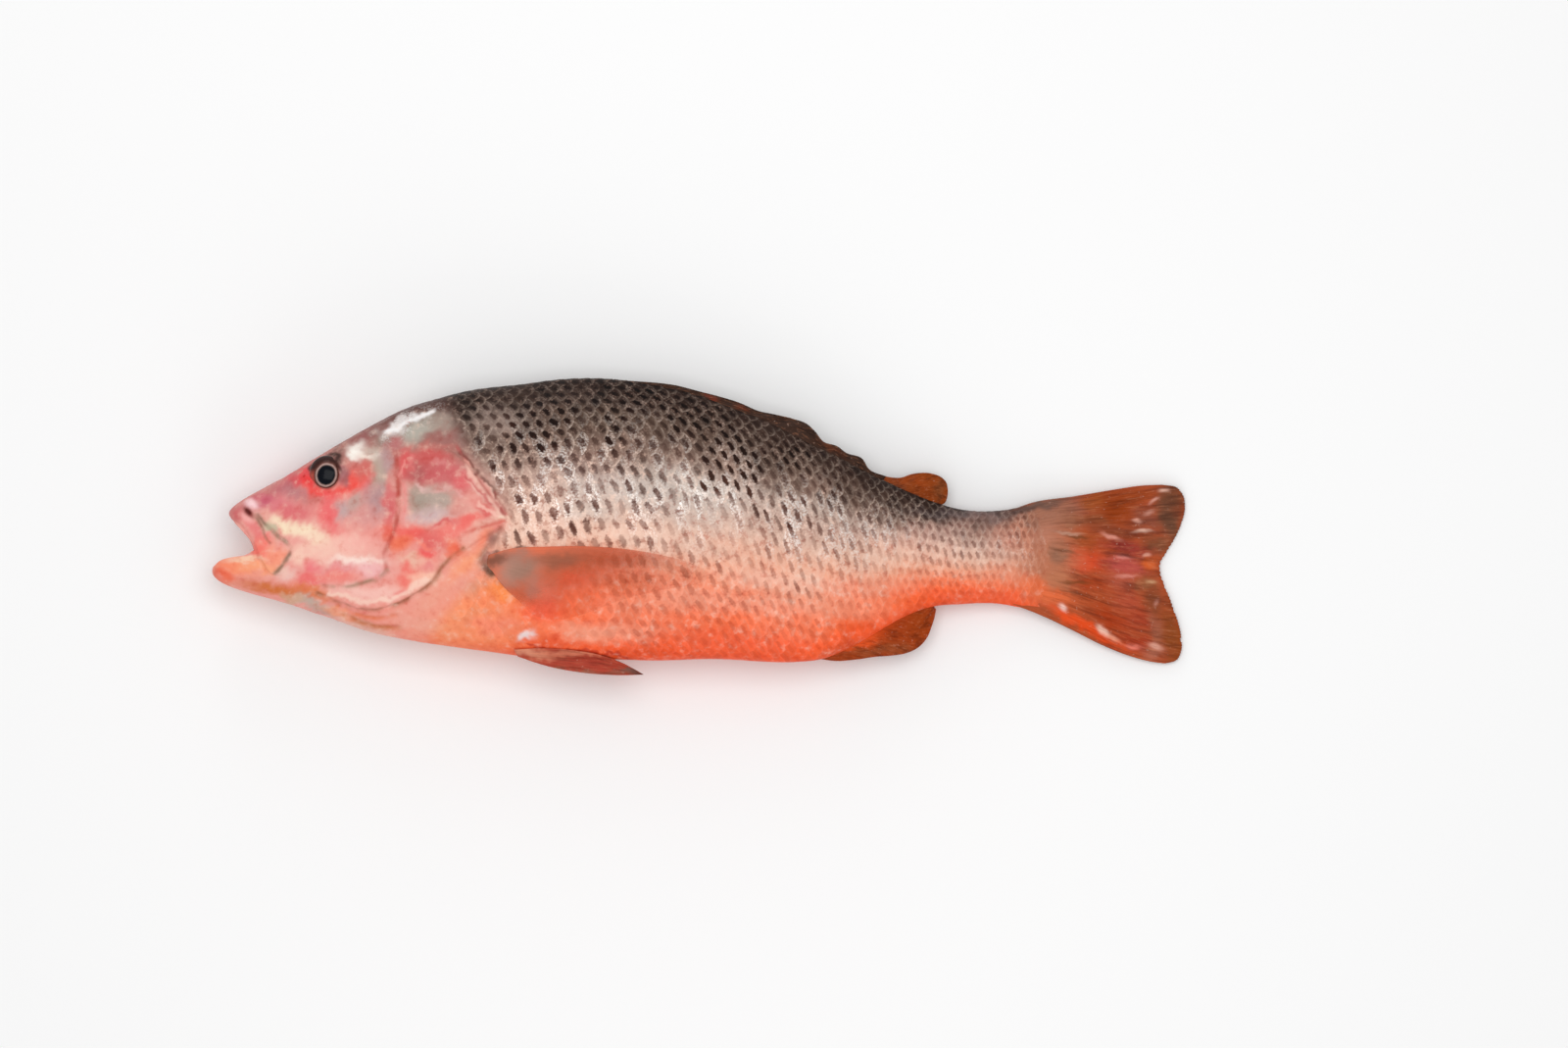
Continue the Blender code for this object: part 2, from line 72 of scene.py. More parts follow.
def hermite(start, start_pull, end, end_pull, share):
    """Cubic path: at share 0 it is at start and heads along start_pull, at share 1 at end along end_pull."""
    return ((2 * share**3 - 3 * share**2 + 1) * start + (share**3 - 2 * share**2 + share) * start_pull
            + (3 * share**2 - 2 * share**3) * end + (share**3 - share**2) * end_pull)


def curve(table, at):
    """Value at each key: the cubic piece between the two neighbours in the table of (key, value...)."""
    table = np.asarray(table, float)
    keys, values = table[:, 0], table[:, 1:]
    slopes = np.gradient(values, keys, axis=0)
    at = np.asarray(at, float)
    i = np.clip(np.searchsorted(keys, at, side="right") - 1, 0, len(keys) - 2)
    span = (keys[i + 1] - keys[i])[..., None]
    share = np.clip((at - keys[i])[..., None] / span, 0, 1)
    found = hermite(values[i], span * slopes[i], values[i + 1], span * slopes[i + 1], share)
    return found[..., 0] if found.shape[-1] == 1 else found


def along(points, share):
    """Point at a share 0 to 1 of the length of the smooth line through some points."""
    points = np.asarray(points, float)
    steps = np.linalg.norm(np.diff(points, axis=0), axis=1)
    keys = np.concatenate([[0.0], np.cumsum(steps)]) / steps.sum()
    return curve(np.column_stack([keys, points]), share)


def ramp(value):
    """Smooth step: 0 up to 0, 1 from 1 on, 3v^2 - 2v^3 between."""
    value = np.clip(value, 0, 1)
    return value * value * (3 - 2 * value)


def bell(value, width):
    """Bell curve: 1 at 0 and soft to 0 on both sides, exp(-(v / w)^2)."""
    return np.exp(-((value / width) ** 2))


# %% [markdown]
# ## The body as rings
# The trunk of a fish is an egg-shaped section that changes along its length: how far it
# reaches to the back and to the belly, how wide it is, and how square. One formula with four tables gives
# every section. The head is closed round the open mouth, so its rings run from a rim that
# follows the lips to the first full section, on cubic paths. The same paths turned inwards make the
# mouth's lining, which ends in a point at the throat.

# %% The outline and the sections of the trunk
BACK_LINE = [(41.7, 39.2), (55.8, 47.8), (69.9, 56.3), (84.0, 64.4), (98.1, 71.2), (112.2, 76.0),
             (126.3, 79.4), (154.4, 83.7), (182.6, 86.6), (208.0, 86.6), (232.9, 83.0), (263.1, 74.0),
             (303.3, 56.5), (336.0, 39.5), (363.7, 26.5), (388.8, 19.0), (407.9, 19.6), (422.0, 23.0),
             (434.0, 24.0)]
BELLY_LINE = [(41.7, -29.5), (62.9, -36.7), (91.0, -45.6), (119.2, -49.8), (161.5, -55.8), (217.8, -57.3),
              (267.1, -57.3), (300.0, -58.4), (313.4, -57.0), (323.4, -53.3), (338.0, -45.3), (355.1, -35.7),
              (370.2, -30.2), (385.0, -28.8), (405.0, -28.8), (415.0, -30.5), (434.0, -35.5)]
WIDEST_LINE = [(41.7, 5.0), (60.0, 12.0), (100.0, 9.0), (150.0, 6.0), (220.0, 4.0), (300.0, -3.0),
               (360.0, -6.0), (434.0, -5.0)]
HALF_WIDTH = [(41.7, 17.0), (60.0, 20.8), (84.0, 25.2), (110.0, 28.5), (140.0, 30.2), (180.0, 30.5),
              (220.0, 29.5), (260.0, 26.5), (300.0, 21.0), (336.0, 15.5), (365.0, 11.5), (389.0, 8.8),
              (408.0, 6.4), (425.0, 3.2), (434.0, 1.5)]
SQUARENESS_ABOVE = [(41.7, 2.6), (62.0, 3.5), (90.0, 2.7), (140.0, 2.0), (434.0, 1.9)]
SQUARENESS_BELOW = [(41.7, 2.0), (100.0, 1.9), (434.0, 2.1)]
SPINE_HEIGHT = [(-1.0, 26.5), (60.0, 27.8), (120.0, 28.2), (240.0, 28.2), (300.0, 26.5), (340.0, 21.5),
                (380.0, 14.5), (410.0, 9.6), (434.0, 6.6), (470.0, 3.6), (501.0, 1.9)]


def spine(x):
    """Height over the floor of the plane that halves the fish: the tail droops to the floor."""
    return curve(SPINE_HEIGHT, np.clip(x, SPINE_HEIGHT[0][0], SPINE_HEIGHT[-1][0]))


def section(x, angle):
    """Section at x as (x, y, offset): along angle a it reaches (|cos a|^n + |sin a|^n)^(-1/n) of its half axes."""
    x, angle = np.broadcast_arrays(x, angle)
    cosine, sine = np.cos(angle), np.sin(angle)
    above = cosine >= 0
    n = np.where(above, curve(SQUARENESS_ABOVE, x), curve(SQUARENESS_BELOW, x))
    reach = (np.abs(cosine) ** n + np.abs(sine) ** n) ** (-1 / n)
    widest = curve(WIDEST_LINE, x)
    height = np.where(above, curve(BACK_LINE, x) - widest, widest - curve(BELLY_LINE, x))
    return np.stack([x, widest + height * reach * cosine, curve(HALF_WIDTH, x) * reach * sine], axis=-1)


# %% The lips and the paths that leave them
UPPER_LIP = [(0.0, 10.1, 15.6), (0.25, 12.6, 12.1), (0.5, 16.6, 7.8), (0.75, 20.0, 3.2), (1.0, 21.6, -1.0)]
LOWER_LIP = [(0.0, 21.6, -1.0), (0.25, 17.0, -3.6), (0.5, 10.4, -4.6), (0.75, 4.6, -6.2), (1.0, 0.4, -9.6)]
MOUTH_HALF_WIDTH, MOUTH_BLUNTNESS = 12.0, 0.6
SNOUT_PULL, CORNER_PULL, CHIN_PULL = (-25.0, 14.0, 0.0), (3.0, 0.0, 10.0), (-14.0, -30.0, 0.0)
ROOF_PULL, CHEEK_PULL, FLOOR_PULL = (8.0, -3.0, 0.0), (7.0, 0.0, -4.0), (7.0, 2.0, 0.0)
THROAT, THROAT_PULL = (42.0, -4.0, 0.0), (4.0, 10.0, 8.0)
FIRST_SECTION, LAST_SECTION = BACK_LINE[0][0], BACK_LINE[-1][0]


def mouth_rim(angle):
    """The rim: the upper lip's table from the middle to the corner, then the lower lip's back to the middle."""
    turn = np.abs((angle + np.pi) % (2 * np.pi) - np.pi) / (np.pi / 2)
    flat = np.where((turn <= 1)[..., None], curve(UPPER_LIP, np.clip(turn, 0, 1)),
                    curve(LOWER_LIP, np.clip(turn - 1, 0, 1)))
    sine = np.sin(angle)
    width = MOUTH_HALF_WIDTH * np.sign(sine) * np.abs(sine) ** MOUTH_BLUNTNESS
    return np.concatenate([flat, width[..., None]], axis=-1)


def turning_pull(angle, top, corner, bottom):
    """A direction that is top at the back, corner at the sides and bottom at the belly, by cos^2 and sin^2."""
    cosine, sine = np.cos(angle)[..., None], np.sin(angle)[..., None]
    same = np.ones_like(sine)
    side = np.asarray(corner) * np.concatenate([same, same, np.sign(sine)], axis=-1)
    return cosine**2 * np.where(cosine >= 0, np.asarray(top), np.asarray(bottom)) + sine**2 * side


# %% One grid of rings for the whole skin
LEFT_COLUMNS, RIGHT_COLUMNS = 330, 136
MOUTH_ROWS, FACE_ROWS, CHEEK_ROWS, TRUNK_ROWS = 28, 84, 90, 603
HEAD_END = 100.0
BODY_ASPECT = (70.0, 30.0)
LIP_CROWDING, ONWARD_PULL = 1.2, 1.25


def girth_angles():
    """Angles round a section, belly to back on the right, then back to belly on the left, at even steps of arc."""
    fine = np.linspace(0, np.pi, 2001)
    step = np.hypot(BODY_ASPECT[0] * np.sin(fine), BODY_ASPECT[1] * np.cos(fine))
    arc = np.concatenate([[0.0], np.cumsum((step[1:] + step[:-1]) / 2)])
    arc /= arc[-1]
    left, right = (np.interp(np.linspace(0, 1, n + 1), arc, fine) for n in (LEFT_COLUMNS, RIGHT_COLUMNS))
    return np.concatenate([-right[:0:-1], left])


angle = girth_angles()
rim = mouth_rim(angle)
first = section(FIRST_SECTION, angle)
lining_share = np.linspace(1, 0, MOUTH_ROWS + 1)[1:-1, None, None]
closing = np.stack([np.full_like(angle, THROAT_PULL[0]), -THROAT_PULL[1] * np.cos(angle),
                    -THROAT_PULL[2] * np.sin(angle)], axis=-1)
lining = hermite(rim, turning_pull(angle, ROOF_PULL, CHEEK_PULL, FLOOR_PULL), np.array(THROAT), closing,
                 lining_share)
face_share = (np.linspace(0, 1, FACE_ROWS + 1)[:-1] ** LIP_CROWDING)[:, None, None]
onward = (section(FIRST_SECTION + 1, angle) - first) * (FIRST_SECTION - rim[:, :1]) * ONWARD_PULL
face = hermite(rim, turning_pull(angle, SNOUT_PULL, CORNER_PULL, CHIN_PULL), first, onward, face_share)
stations = np.concatenate([np.linspace(FIRST_SECTION, HEAD_END, CHEEK_ROWS + 1)[:-1],
                           np.linspace(HEAD_END, LAST_SECTION, TRUNK_ROWS)])
rings = np.concatenate([lining, face, section(stations[:, None], angle[None, :])])
OUTER = len(lining)
print("skin grid:", rings.shape[:2], "rows and columns")

# %% [markdown]
# ## Laying it down
# A fish on a table rests on its flank: the flesh that would be below the table is pressed flat. So the offset
# from the middle plane becomes a height, and anything under the floor is set on it. The way the skin faces
# comes from the steps between neighbours on the grid, and is used twice: to push relief out
# of the skin, and as the shading normal, which hides the seams between the pieces that the skin is cut into.

# %% Heights, and the way the skin faces


def laid(points):
    """(x, y, offset) set on the floor: height is the spine's plus the offset, and never under 0."""
    height = np.maximum(points[..., 2] + spine(points[..., 0]), 0)
    return np.stack([points[..., 0], points[..., 1], height], axis=-1)


def facing(points):
    """Unit normals of a tube's grid: the cross product of its steps round the girth and along the fish."""
    body = points[:, :-1]
    across = np.roll(body, -1, axis=1) - np.roll(body, 1, axis=1)
    across = np.concatenate([across, across[:, :1]], axis=1)
    normal = np.cross(across, np.gradient(points, axis=0))
    return normal / np.maximum(np.linalg.norm(normal, axis=-1, keepdims=True), 1e-12)


skin = laid(rings)
outward = facing(skin)
middle = skin[OUTER:, :-1].mean(axis=1, keepdims=True)
if ((skin[OUTER:, :-1] - middle) * outward[OUTER:, :-1]).sum() < 0:
    outward = -outward
X, Y = rings[..., 0], rings[..., 1]
body_x = np.clip(X, 0, LAST_SECTION)
girth = np.concatenate([np.zeros_like(skin[:, :1, 0]),
                        np.cumsum(np.linalg.norm(np.diff(skin, axis=1), axis=-1), axis=1)], axis=1)
columns_left = np.arange(len(angle)) - RIGHT_COLUMNS
from_back = np.abs(girth - girth[:, RIGHT_COLUMNS:RIGHT_COLUMNS + 1])
half_girth = np.where(columns_left < 0, from_back[:, :1], from_back[:, -1:])
print("girth in the middle of the trunk:", round(float(girth[OUTER + FACE_ROWS + 300, -1])), "mm")

# %% [markdown]
# ## Scales
# Scales lie like roof tiles: each covers the front of the next, and every second row is set off by half. The
# rows are counted from the lateral line, and the columns from the head, with a pitch that shrinks towards the
# tail. For any point only two rows can cover it, and the tile on top is the one that starts furthest forward.
# The same few lines work on arrays, for the relief, and on shader wires, for the colours.

# %% The lattice of scales
COLUMN_PITCH = [(0.0, 6.0), (100.0, 6.4), (140.0, 6.8), (180.0, 7.1), (245.0, 6.9), (300.0, 5.8), (350.0, 4.7),
                (390.0, 4.1), (434.0, 3.6)]
ROW_COUNT = [(0.0, 22.0), (150.0, 23.0), (220.0, 23.0), (270.0, 21.5), (310.0, 18.5), (350.0, 15.0),
             (390.0, 12.5), (434.0, 12.0)]
ROW_PITCH = [(0.0, 0.55), (0.15, 0.7), (0.3, 1.0), (0.45, 1.3), (0.55, 1.25), (0.7, 1.0), (1.0, 0.8)]
LATERAL_LINE = [(0.0, 0.25), (137.0, 0.27), (243.0, 0.24), (318.0, 0.33), (374.0, 0.45), (434.0, 0.5)]
TILE_REACH = 0.9
LATTICE_UNREST = (0.16, 0.20)


def running_sum(table, lowest, highest, at):
    """The integral of one over the table's value, from lowest to each place: how many pitches fit."""
    fine = np.linspace(lowest, highest, 801)
    rate = 1 / curve(table, fine)
    total = np.concatenate([[0.0], np.cumsum((rate[1:] + rate[:-1]) / 2 * np.diff(fine))])
    return np.interp(at, fine, total)


def row_share(share):
    """The share of all rows that lie between the back and a share of the way to the belly."""
    return running_sum(ROW_PITCH, 0, 1, share) / running_sum(ROW_PITCH, 0, 1, 1.0)


def scale_under(u, v, maths):
    """The tile on top at (u, v): of the two rows near v, row j has tiles at k + j/2 mod 1 whose free edge is an
    arc, 0.9 sqrt(1 - (v - j)^2) behind the tile's middle; the tile furthest forward wins.
    Gives the tile's middle, its row, the distance to its free edge and the place across it."""
    row, top = maths.floor(v), None
    for step in (0, 1):
        j = row + step
        across = v - j
        edge = TILE_REACH * maths.root(maths.most(1 - across * across, 0.0))
        offset = 0.5 * maths.rest(j, 2.0)
        tile = maths.ceiling(u - edge - offset) + offset
        here = (tile, j, tile + edge - u, across)
        if top is None:
            top = here
        else:
            wins = maths.less(here[0], top[0])
            top = tuple(old + (new - old) * wins for old, new in zip(top, here))
    return top


def soft_noise(x, y, size, seed, octaves=3):
    """Value noise between -1 and 1: random numbers on a square lattice, joined by smooth steps, in octaves."""
    total, weight = 0, 0
    for n in range(octaves):
        gx, gy = x / size * 2**n, y / size * 2**n
        ix, iy = np.floor(gx), np.floor(gy)
        fx, fy = ramp(gx - ix), ramp(gy - iy)

        def at(dx, dy):
            phase = (ix + dx) * 127.1 + (iy + dy) * 311.7 + (seed + n) * 74.7
            return np.modf(np.abs(np.sin(phase) * 43758.5453))[0]

        value = (at(0, 0) * (1 - fx) + at(1, 0) * fx) * (1 - fy) + (at(0, 1) * (1 - fx) + at(1, 1) * fx) * fy
        total, weight = total + (2 * value - 1) * 0.55**n, weight + 0.55**n
    return total / weight * 1.6


ARRAYS = SimpleNamespace(floor=np.floor, ceiling=np.ceil, root=np.sqrt, most=np.maximum, rest=np.mod,
                         less=lambda a, b: (a < b) * 1.0)
tile_u = running_sum(COLUMN_PITCH, 0, LAST_SECTION, body_x)
tile_v = curve(ROW_COUNT, body_x) * (row_share(from_back / half_girth) - row_share(curve(LATERAL_LINE, body_x)))
arc_side = np.where(columns_left < 0, -1, 1) * from_back
tile_u = tile_u + LATTICE_UNREST[0] * soft_noise(X, arc_side, 17, 3.0, 2)
tile_v = tile_v + LATTICE_UNREST[1] * soft_noise(X, arc_side, 19, 9.0, 2)
to_edge = scale_under(tile_u, tile_v, ARRAYS)[2]
print("scales along the flank:", round(float(tile_u.max() - tile_u[OUTER + FACE_ROWS + CHEEK_ROWS, 0])))

# %% [markdown]
# ## Bones, seams and sockets under the skin
# The face of a snapper shows its bones: the gill cover and the cheek stand over what lies behind them, the upper
# jaw bone lies on the corner of the mouth, and folds run under the throat. Each is an outline or a line
# on the flank, and the distance to it shapes a step or a groove. A distance to a chain of short
# straight runs is cheap when each run is compared with all points at once.

# %% Outlines and lines of the head
GILL_COVER = [(97.0, 49.0), (112.0, 52.0), (123.0, 49.5), (131.0, 43.0), (140.8, 30.2), (149.0, 19.5),
              (151.4, 14.0), (146.4, 9.6), (136.3, 3.5), (127.3, -3.3), (118.2, -10.5), (112.2, -17.6),
              (104.1, -23.4), (94.6, -28.2), (82.0, -31.2), (69.5, -28.8), (64.4, -23.0), (72.0, 0.0),
              (84.5, 30.0), (97.0, 49.0)]
CHEEK = [(94.0, 47.5), (95.6, 35.0), (95.6, 21.0), (94.0, 11.5), (90.5, 2.5), (88.6, -5.0), (89.6, -11.0),
         (86.0, -15.1), (79.0, -17.6), (70.0, -19.6), (59.5, -20.0), (52.0, -12.0), (51.0, 5.0), (60.0, 22.0),
         (72.0, 40.0), (84.5, 49.0), (94.0, 47.5)]
UPPER_JAW_BONE = [(19.6, 20.6), (25.7, 14.1), (33.2, 6.5), (39.7, 1.5), (42.3, -3.0), (39.2, -8.6),
                  (34.7, -13.6), (31.0, -13.0), (27.0, -8.0), (24.0, -2.0), (21.5, 4.0), (18.5, 10.0),
                  (16.5, 16.0), (19.6, 20.6)]
LINES = {
    "jaw_edge": [(23.6, 16.6), (27.7, 12.1), (33.7, 7.0), (38.2, 3.5), (40.7, -1.0), (38.2, -6.0), (35.2, -10.1),
                 (32.2, -13.1)],
    "jaw_crease": [(23.1, 15.1), (26.2, 9.6), (28.2, 5.5), (29.7, 3.0)],
    "cheek_edge": [(94.6, 49.3), (95.6, 39.2), (96.1, 27.7), (95.6, 17.6), (93.6, 8.6), (90.0, 1.0), (89.0, -6.0),
                   (90.0, -11.6)],
    "cheek_foot": [(90.0, -11.6), (86.5, -14.6), (79.0, -17.6), (69.4, -19.6), (57.8, -19.1)],
    "cover_edge": [(126.3, 51.3), (132.3, 43.3), (138.3, 34.2), (144.9, 25.1), (150.9, 17.1)],
    "cover_flap": [(150.9, 14.1), (142.3, 11.6), (133.3, 8.6), (127.3, 5.5)],
    "cover_foot": [(129.8, 0.0), (123.7, -4.5), (117.7, -9.6), (115.2, -15.1), (109.7, -20.1), (102.1, -25.1),
                   (94.1, -29.2), (84.0, -31.2), (71.9, -30.2), (61.9, -26.7), (54.3, -23.1)],
    "throat_fold": [(64.4, -29.2), (72.9, -33.7), (84.0, -35.7), (94.6, -34.2)],
    "lower_fold": [(66.9, -34.2), (77.0, -38.2), (88.0, -40.7), (96.1, -40.7)],
    "shoulder": [(148.9, 10.1), (144.9, 4.0), (140.8, -1.0), (138.8, -6.0), (141.8, -12.1)],
    "cheek_ridge": [(99.1, 34.2), (99.6, 22.6), (98.6, 12.6)],
    "lip": [(11.6, 14.6), (17.1, 9.6), (21.1, 2.0), (23.6, -4.0), (26.7, -10.1)],
}
NOSTRIL, NOSTRIL_FLAP = (19.1, 18.4), (19.6, 23.1)


def distance(line, x, y, runs=48):
    """Shortest distance to the smooth line: the least of the distances to its short straight runs."""
    nodes = along(line, np.linspace(0, 1, runs + 1))
    best = np.full(x.shape, 1e9)
    for start, end in zip(nodes[:-1], nodes[1:]):
        run = end - start
        share = np.clip(((x - start[0]) * run[0] + (y - start[1]) * run[1]) / (run @ run), 0, 1)
        best = np.minimum(best, (x - start[0] - share * run[0]) ** 2 + (y - start[1] - share * run[1]) ** 2)
    return np.sqrt(best)


def depth_inside(outline, x, y, runs=72):
    """Signed distance, positive inside: a point is inside if a ray along x crosses the outline an odd count."""
    nodes = along(outline, np.linspace(0, 1, runs + 1))
    inside = np.zeros(x.shape, bool)
    for start, end in zip(nodes[:-1], nodes[1:]):
        crosses = (start[1] > y) != (end[1] > y)
        rise = end[1] - start[1] if end[1] != start[1] else 1e-9
        inside ^= crosses & (x < start[0] + (y - start[1]) / rise * (end[0] - start[0]))
    return np.where(inside, 1, -1) * distance(outline, x, y, runs)


# %% Measure every head point against them
SHOULDER_ROWS = 110
PUPIL_PLACE, PUPIL_SQUASH = (-0.3, -1.2), 0.93
head_rows = slice(OUTER, OUTER + FACE_ROWS + CHEEK_ROWS + SHOULDER_ROWS)
hx, hy = X[head_rows], Y[head_rows]
in_cover, in_cheek, in_jaw = (depth_inside(o, hx, hy) for o in (GILL_COVER, CHEEK, UPPER_JAW_BONE))
line_x = hx + 0.4 * soft_noise(hx, hy, 5, 21.0, 2)
line_y = hy + 0.4 * soft_noise(hx, hy, 5, 27.0, 2)
lines = {name: distance(line, line_x, line_y, 28) for name, line in LINES.items()}
from_eye = np.hypot(hx - EYE_CENTRE[0], hy - EYE_CENTRE[1])
from_pupil = np.hypot(hx - EYE_CENTRE[0] - PUPIL_PLACE[0], (hy - EYE_CENTRE[1] - PUPIL_PLACE[1]) * PUPIL_SQUASH)
print("head points measured:", hx.size)

# %% [markdown]
# ## Relief
# Each form is a height over the smooth skin in millimetres. Steps are smooth ramps, grooves are bell curves,
# and the eye's socket is a bowl with a low rim. The gill cover rises from nothing at its front,
# so its step shows only where the real one stands free. Scales rise towards their free edge and drop to the next.

# %% Add up the relief


def uneven_waves(x, y):
    """Low swells of a soft body: a product of two sines whose phases wander."""
    return np.sin(x / 9 + 1.7 * np.sin(y / 14)) * np.sin(y / 11 + 0.9 * np.sin(x / 17))


FRONT_OF_SCALES = [(-60.0, 106.0), (-40.0, 116.0), (-20.0, 132.0), (0.0, 146.0), (15.0, 152.0), (28.0, 149.0),
                   (40.0, 141.0), (53.0, 132.0), (65.0, 126.0), (90.0, 118.0)]
SCALE_RISE = [(0.0, 0.10), (100.0, 0.14), (150.0, 0.27), (260.0, 0.27), (350.0, 0.2), (434.0, 0.12)]
COVER_FRONT = [(-32, 50), (-20, 60), (-12, 84), (-5, 88), (2.5, 90), (11.5, 94), (60, 96)]
COVER_RUN = 42
SWELLS, WRINKLES = 0.3, 0.10
COVER_STEP, COVER_GROOVE, CHEEK_STEP, JAW_STEP = 1.3, 0.4, 1.0, 0.8
SOCKET, SOCKET_DEPTH, RIM_RADIUS, RIM_HEIGHT = 6.3, 5.0, 7.6, 0.45
BALL_RADIUS, BALL_HALF_DEPTH, BALL_EDGE, BALL_SLOPE = 9.0, 5.4, 8.2, 0.25
SKIN_OVER_BALL, LIFT_REACH = 0.15, 12
behind_front = X - curve(FRONT_OF_SCALES, np.clip(Y, -60, 90))
scaled = ramp((behind_front + 4) / 10) * (1 - ramp((X - 414) / 20))
scaled[:OUTER] = 0
breast = scaled * (1 - 0.65 * ramp((-8 - Y) / 14) * ramp((225 - X) / 60))
tile_height = (1 - to_edge) ** 1.3 * ramp(to_edge / 0.09)
relief = breast * curve(SCALE_RISE, body_x) * tile_height * (1 - 0.8 * ramp((8 - Y) / 30))
relief += SWELLS * uneven_waves(X, Y) * ramp((X - 30) / 40)

cover_rise = ramp((hx - np.interp(hy, *np.transpose(COVER_FRONT))) / COVER_RUN)
relief[head_rows] += COVER_STEP * ramp(in_cover / 1.8 + 0.5) * cover_rise
relief[head_rows] -= COVER_GROOVE * bell(in_cover + 1.4, 1.1) * cover_rise
relief[head_rows] += CHEEK_STEP * ramp(in_cheek / 1.7 + 0.5) * ramp((hx - 54) / 30)
relief[head_rows] += JAW_STEP * ramp(in_jaw / 1.3 + 0.5) * ramp((hx - 20) / 8)
GROOVES = {"jaw_edge": (0.5, 0.8), "jaw_crease": (0.6, 0.8), "cheek_edge": (0.28, 0.9), "cheek_foot": (0.4, 0.8),
           "cover_edge": (0.5, 1.0), "cover_flap": (0.3, 0.9), "cover_foot": (0.5, 0.9), "throat_fold": (0.6, 1.0),
           "lower_fold": (0.5, 1.1), "shoulder": (0.8, 1.5), "cheek_ridge": (-0.35, 1.5), "lip": (0.4, 1.0)}
for name, (depth, width) in GROOVES.items():
    relief[head_rows] -= depth * bell(lines[name], width)
wrinkled = (1 - scaled[head_rows]) * ramp((hx - 22) / 10)
relief[head_rows] += WRINKLES * wrinkled * soft_noise(hx, hy, 2.6, 1.0, 3)
relief[head_rows] += RIM_HEIGHT * bell(from_pupil - RIM_RADIUS, 1.4) - SOCKET_DEPTH * ramp((SOCKET - from_pupil) / 0.9)
for (cx, cy), size, depth in ((NOSTRIL, 1.3, 1.0), (NOSTRIL_FLAP, 2.0, -0.5)):
    relief[head_rows] -= depth * bell(np.hypot(hx - cx, hy - cy), size)
relief[:OUTER] = 0

# %% Lift the skin round the sockets over the eyeballs
ball_share = np.minimum(from_eye, BALL_EDGE) / BALL_RADIUS
over_ball = (BALL_HALF_DEPTH * np.sqrt(1 - ball_share**2) - 1.1 * np.maximum(from_eye - BALL_EDGE, 0)
             - BALL_SLOPE * (hy - EYE_CENTRE[1]))
skin = skin + outward * relief[..., None]
for hand, side in (("left", 1), ("right", -1)):
    ball_height = np.array(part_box("eye_" + hand))[:, 2].mean() / MM
    rim_height = side * (skin[head_rows][..., 2] - ball_height)
    lift = np.maximum(over_ball + SKIN_OVER_BALL - rim_height, 0) * (from_eye < LIFT_REACH)
    lift *= ramp((from_pupil - SOCKET + 0.2) / 0.6)
    lift *= 1 - ramp((lift - 1.5) / 1.5)
    skin[head_rows][..., 2] += side * np.where(side * columns_left > 0, lift, 0)
skin[..., 2] = np.maximum(skin[..., 2], 0)
shading = facing(skin)
shading *= np.sign((shading * outward).sum())
print("relief from", relief.min().round(2), "to", relief.max().round(2), "mm")

# %% [markdown]
# ## Colours of the skin
# A fish is painted by nature in zones that melt into each other: a dark back, a silvery band, a pink flank, an
# orange belly, and a rose head with its own patches. So one list gives the bands from back to belly, a
# second gives soft oval patches (place, half sizes, tilt, colour, strength), and a third gives
# strokes along a line. Every one is laid over what is there, like thin paint. Their places wander a
# little with noise, so that no edge is a clean oval. The result is stored on the skin's points as an attribute.

# %% Paint by bands, patches and strokes


def linear(colour):
    """Linear light of a colour given as three screen values of 0 to 255."""
    c = np.asarray(colour, float) / 255
    return np.where(c <= 0.04045, c / 12.92, ((c + 0.055) / 1.055) ** 2.4)


def oval(place, tilt, x, y):
    """1 in an oval's middle and soft to 0 round it: exp(-q^3), q the distance in half sizes after the tilt."""
    cx, cy, across, up = place
    turn = np.radians(tilt)
    dx, dy = x - cx, y - cy
    q = np.hypot((dx * np.cos(turn) + dy * np.sin(turn)) / across, (dy * np.cos(turn) - dx * np.sin(turn)) / up)
    return np.exp(-(q**3))


def lay(tone, colour, cover):
    """Thin paint: tone + (colour - tone) x cover."""
    return tone + (linear(colour) - tone) * cover[..., None]


WIDE_WANDER, FINE_WANDER = (8, 1.7), (2.4, 0.8)


def paint(tone, patches, strokes, x, y, over=None, wander=1.0):
    """Lays all patches and then all strokes over the tone, at places that wander with noise of (x, over)."""
    over = y if over is None else over
    wx, wy = (place + wander * sum(reach * soft_noise(x, over, size, seed, 2)
                                   for (size, reach), seed in zip((WIDE_WANDER, FINE_WANDER), seeds))
              for place, seeds in ((x, (2.0, 5.0)), (y, (7.0, 11.0))))
    for place, tilt, colour, strength in patches:
        tone = lay(tone, colour, strength * oval(place, tilt, wx, wy))
    for line, width, colour, strength in strokes:
        tone = lay(tone, colour, strength * np.exp(-((distance(line, wx, wy, 16) / width) ** 3)))
    return tone


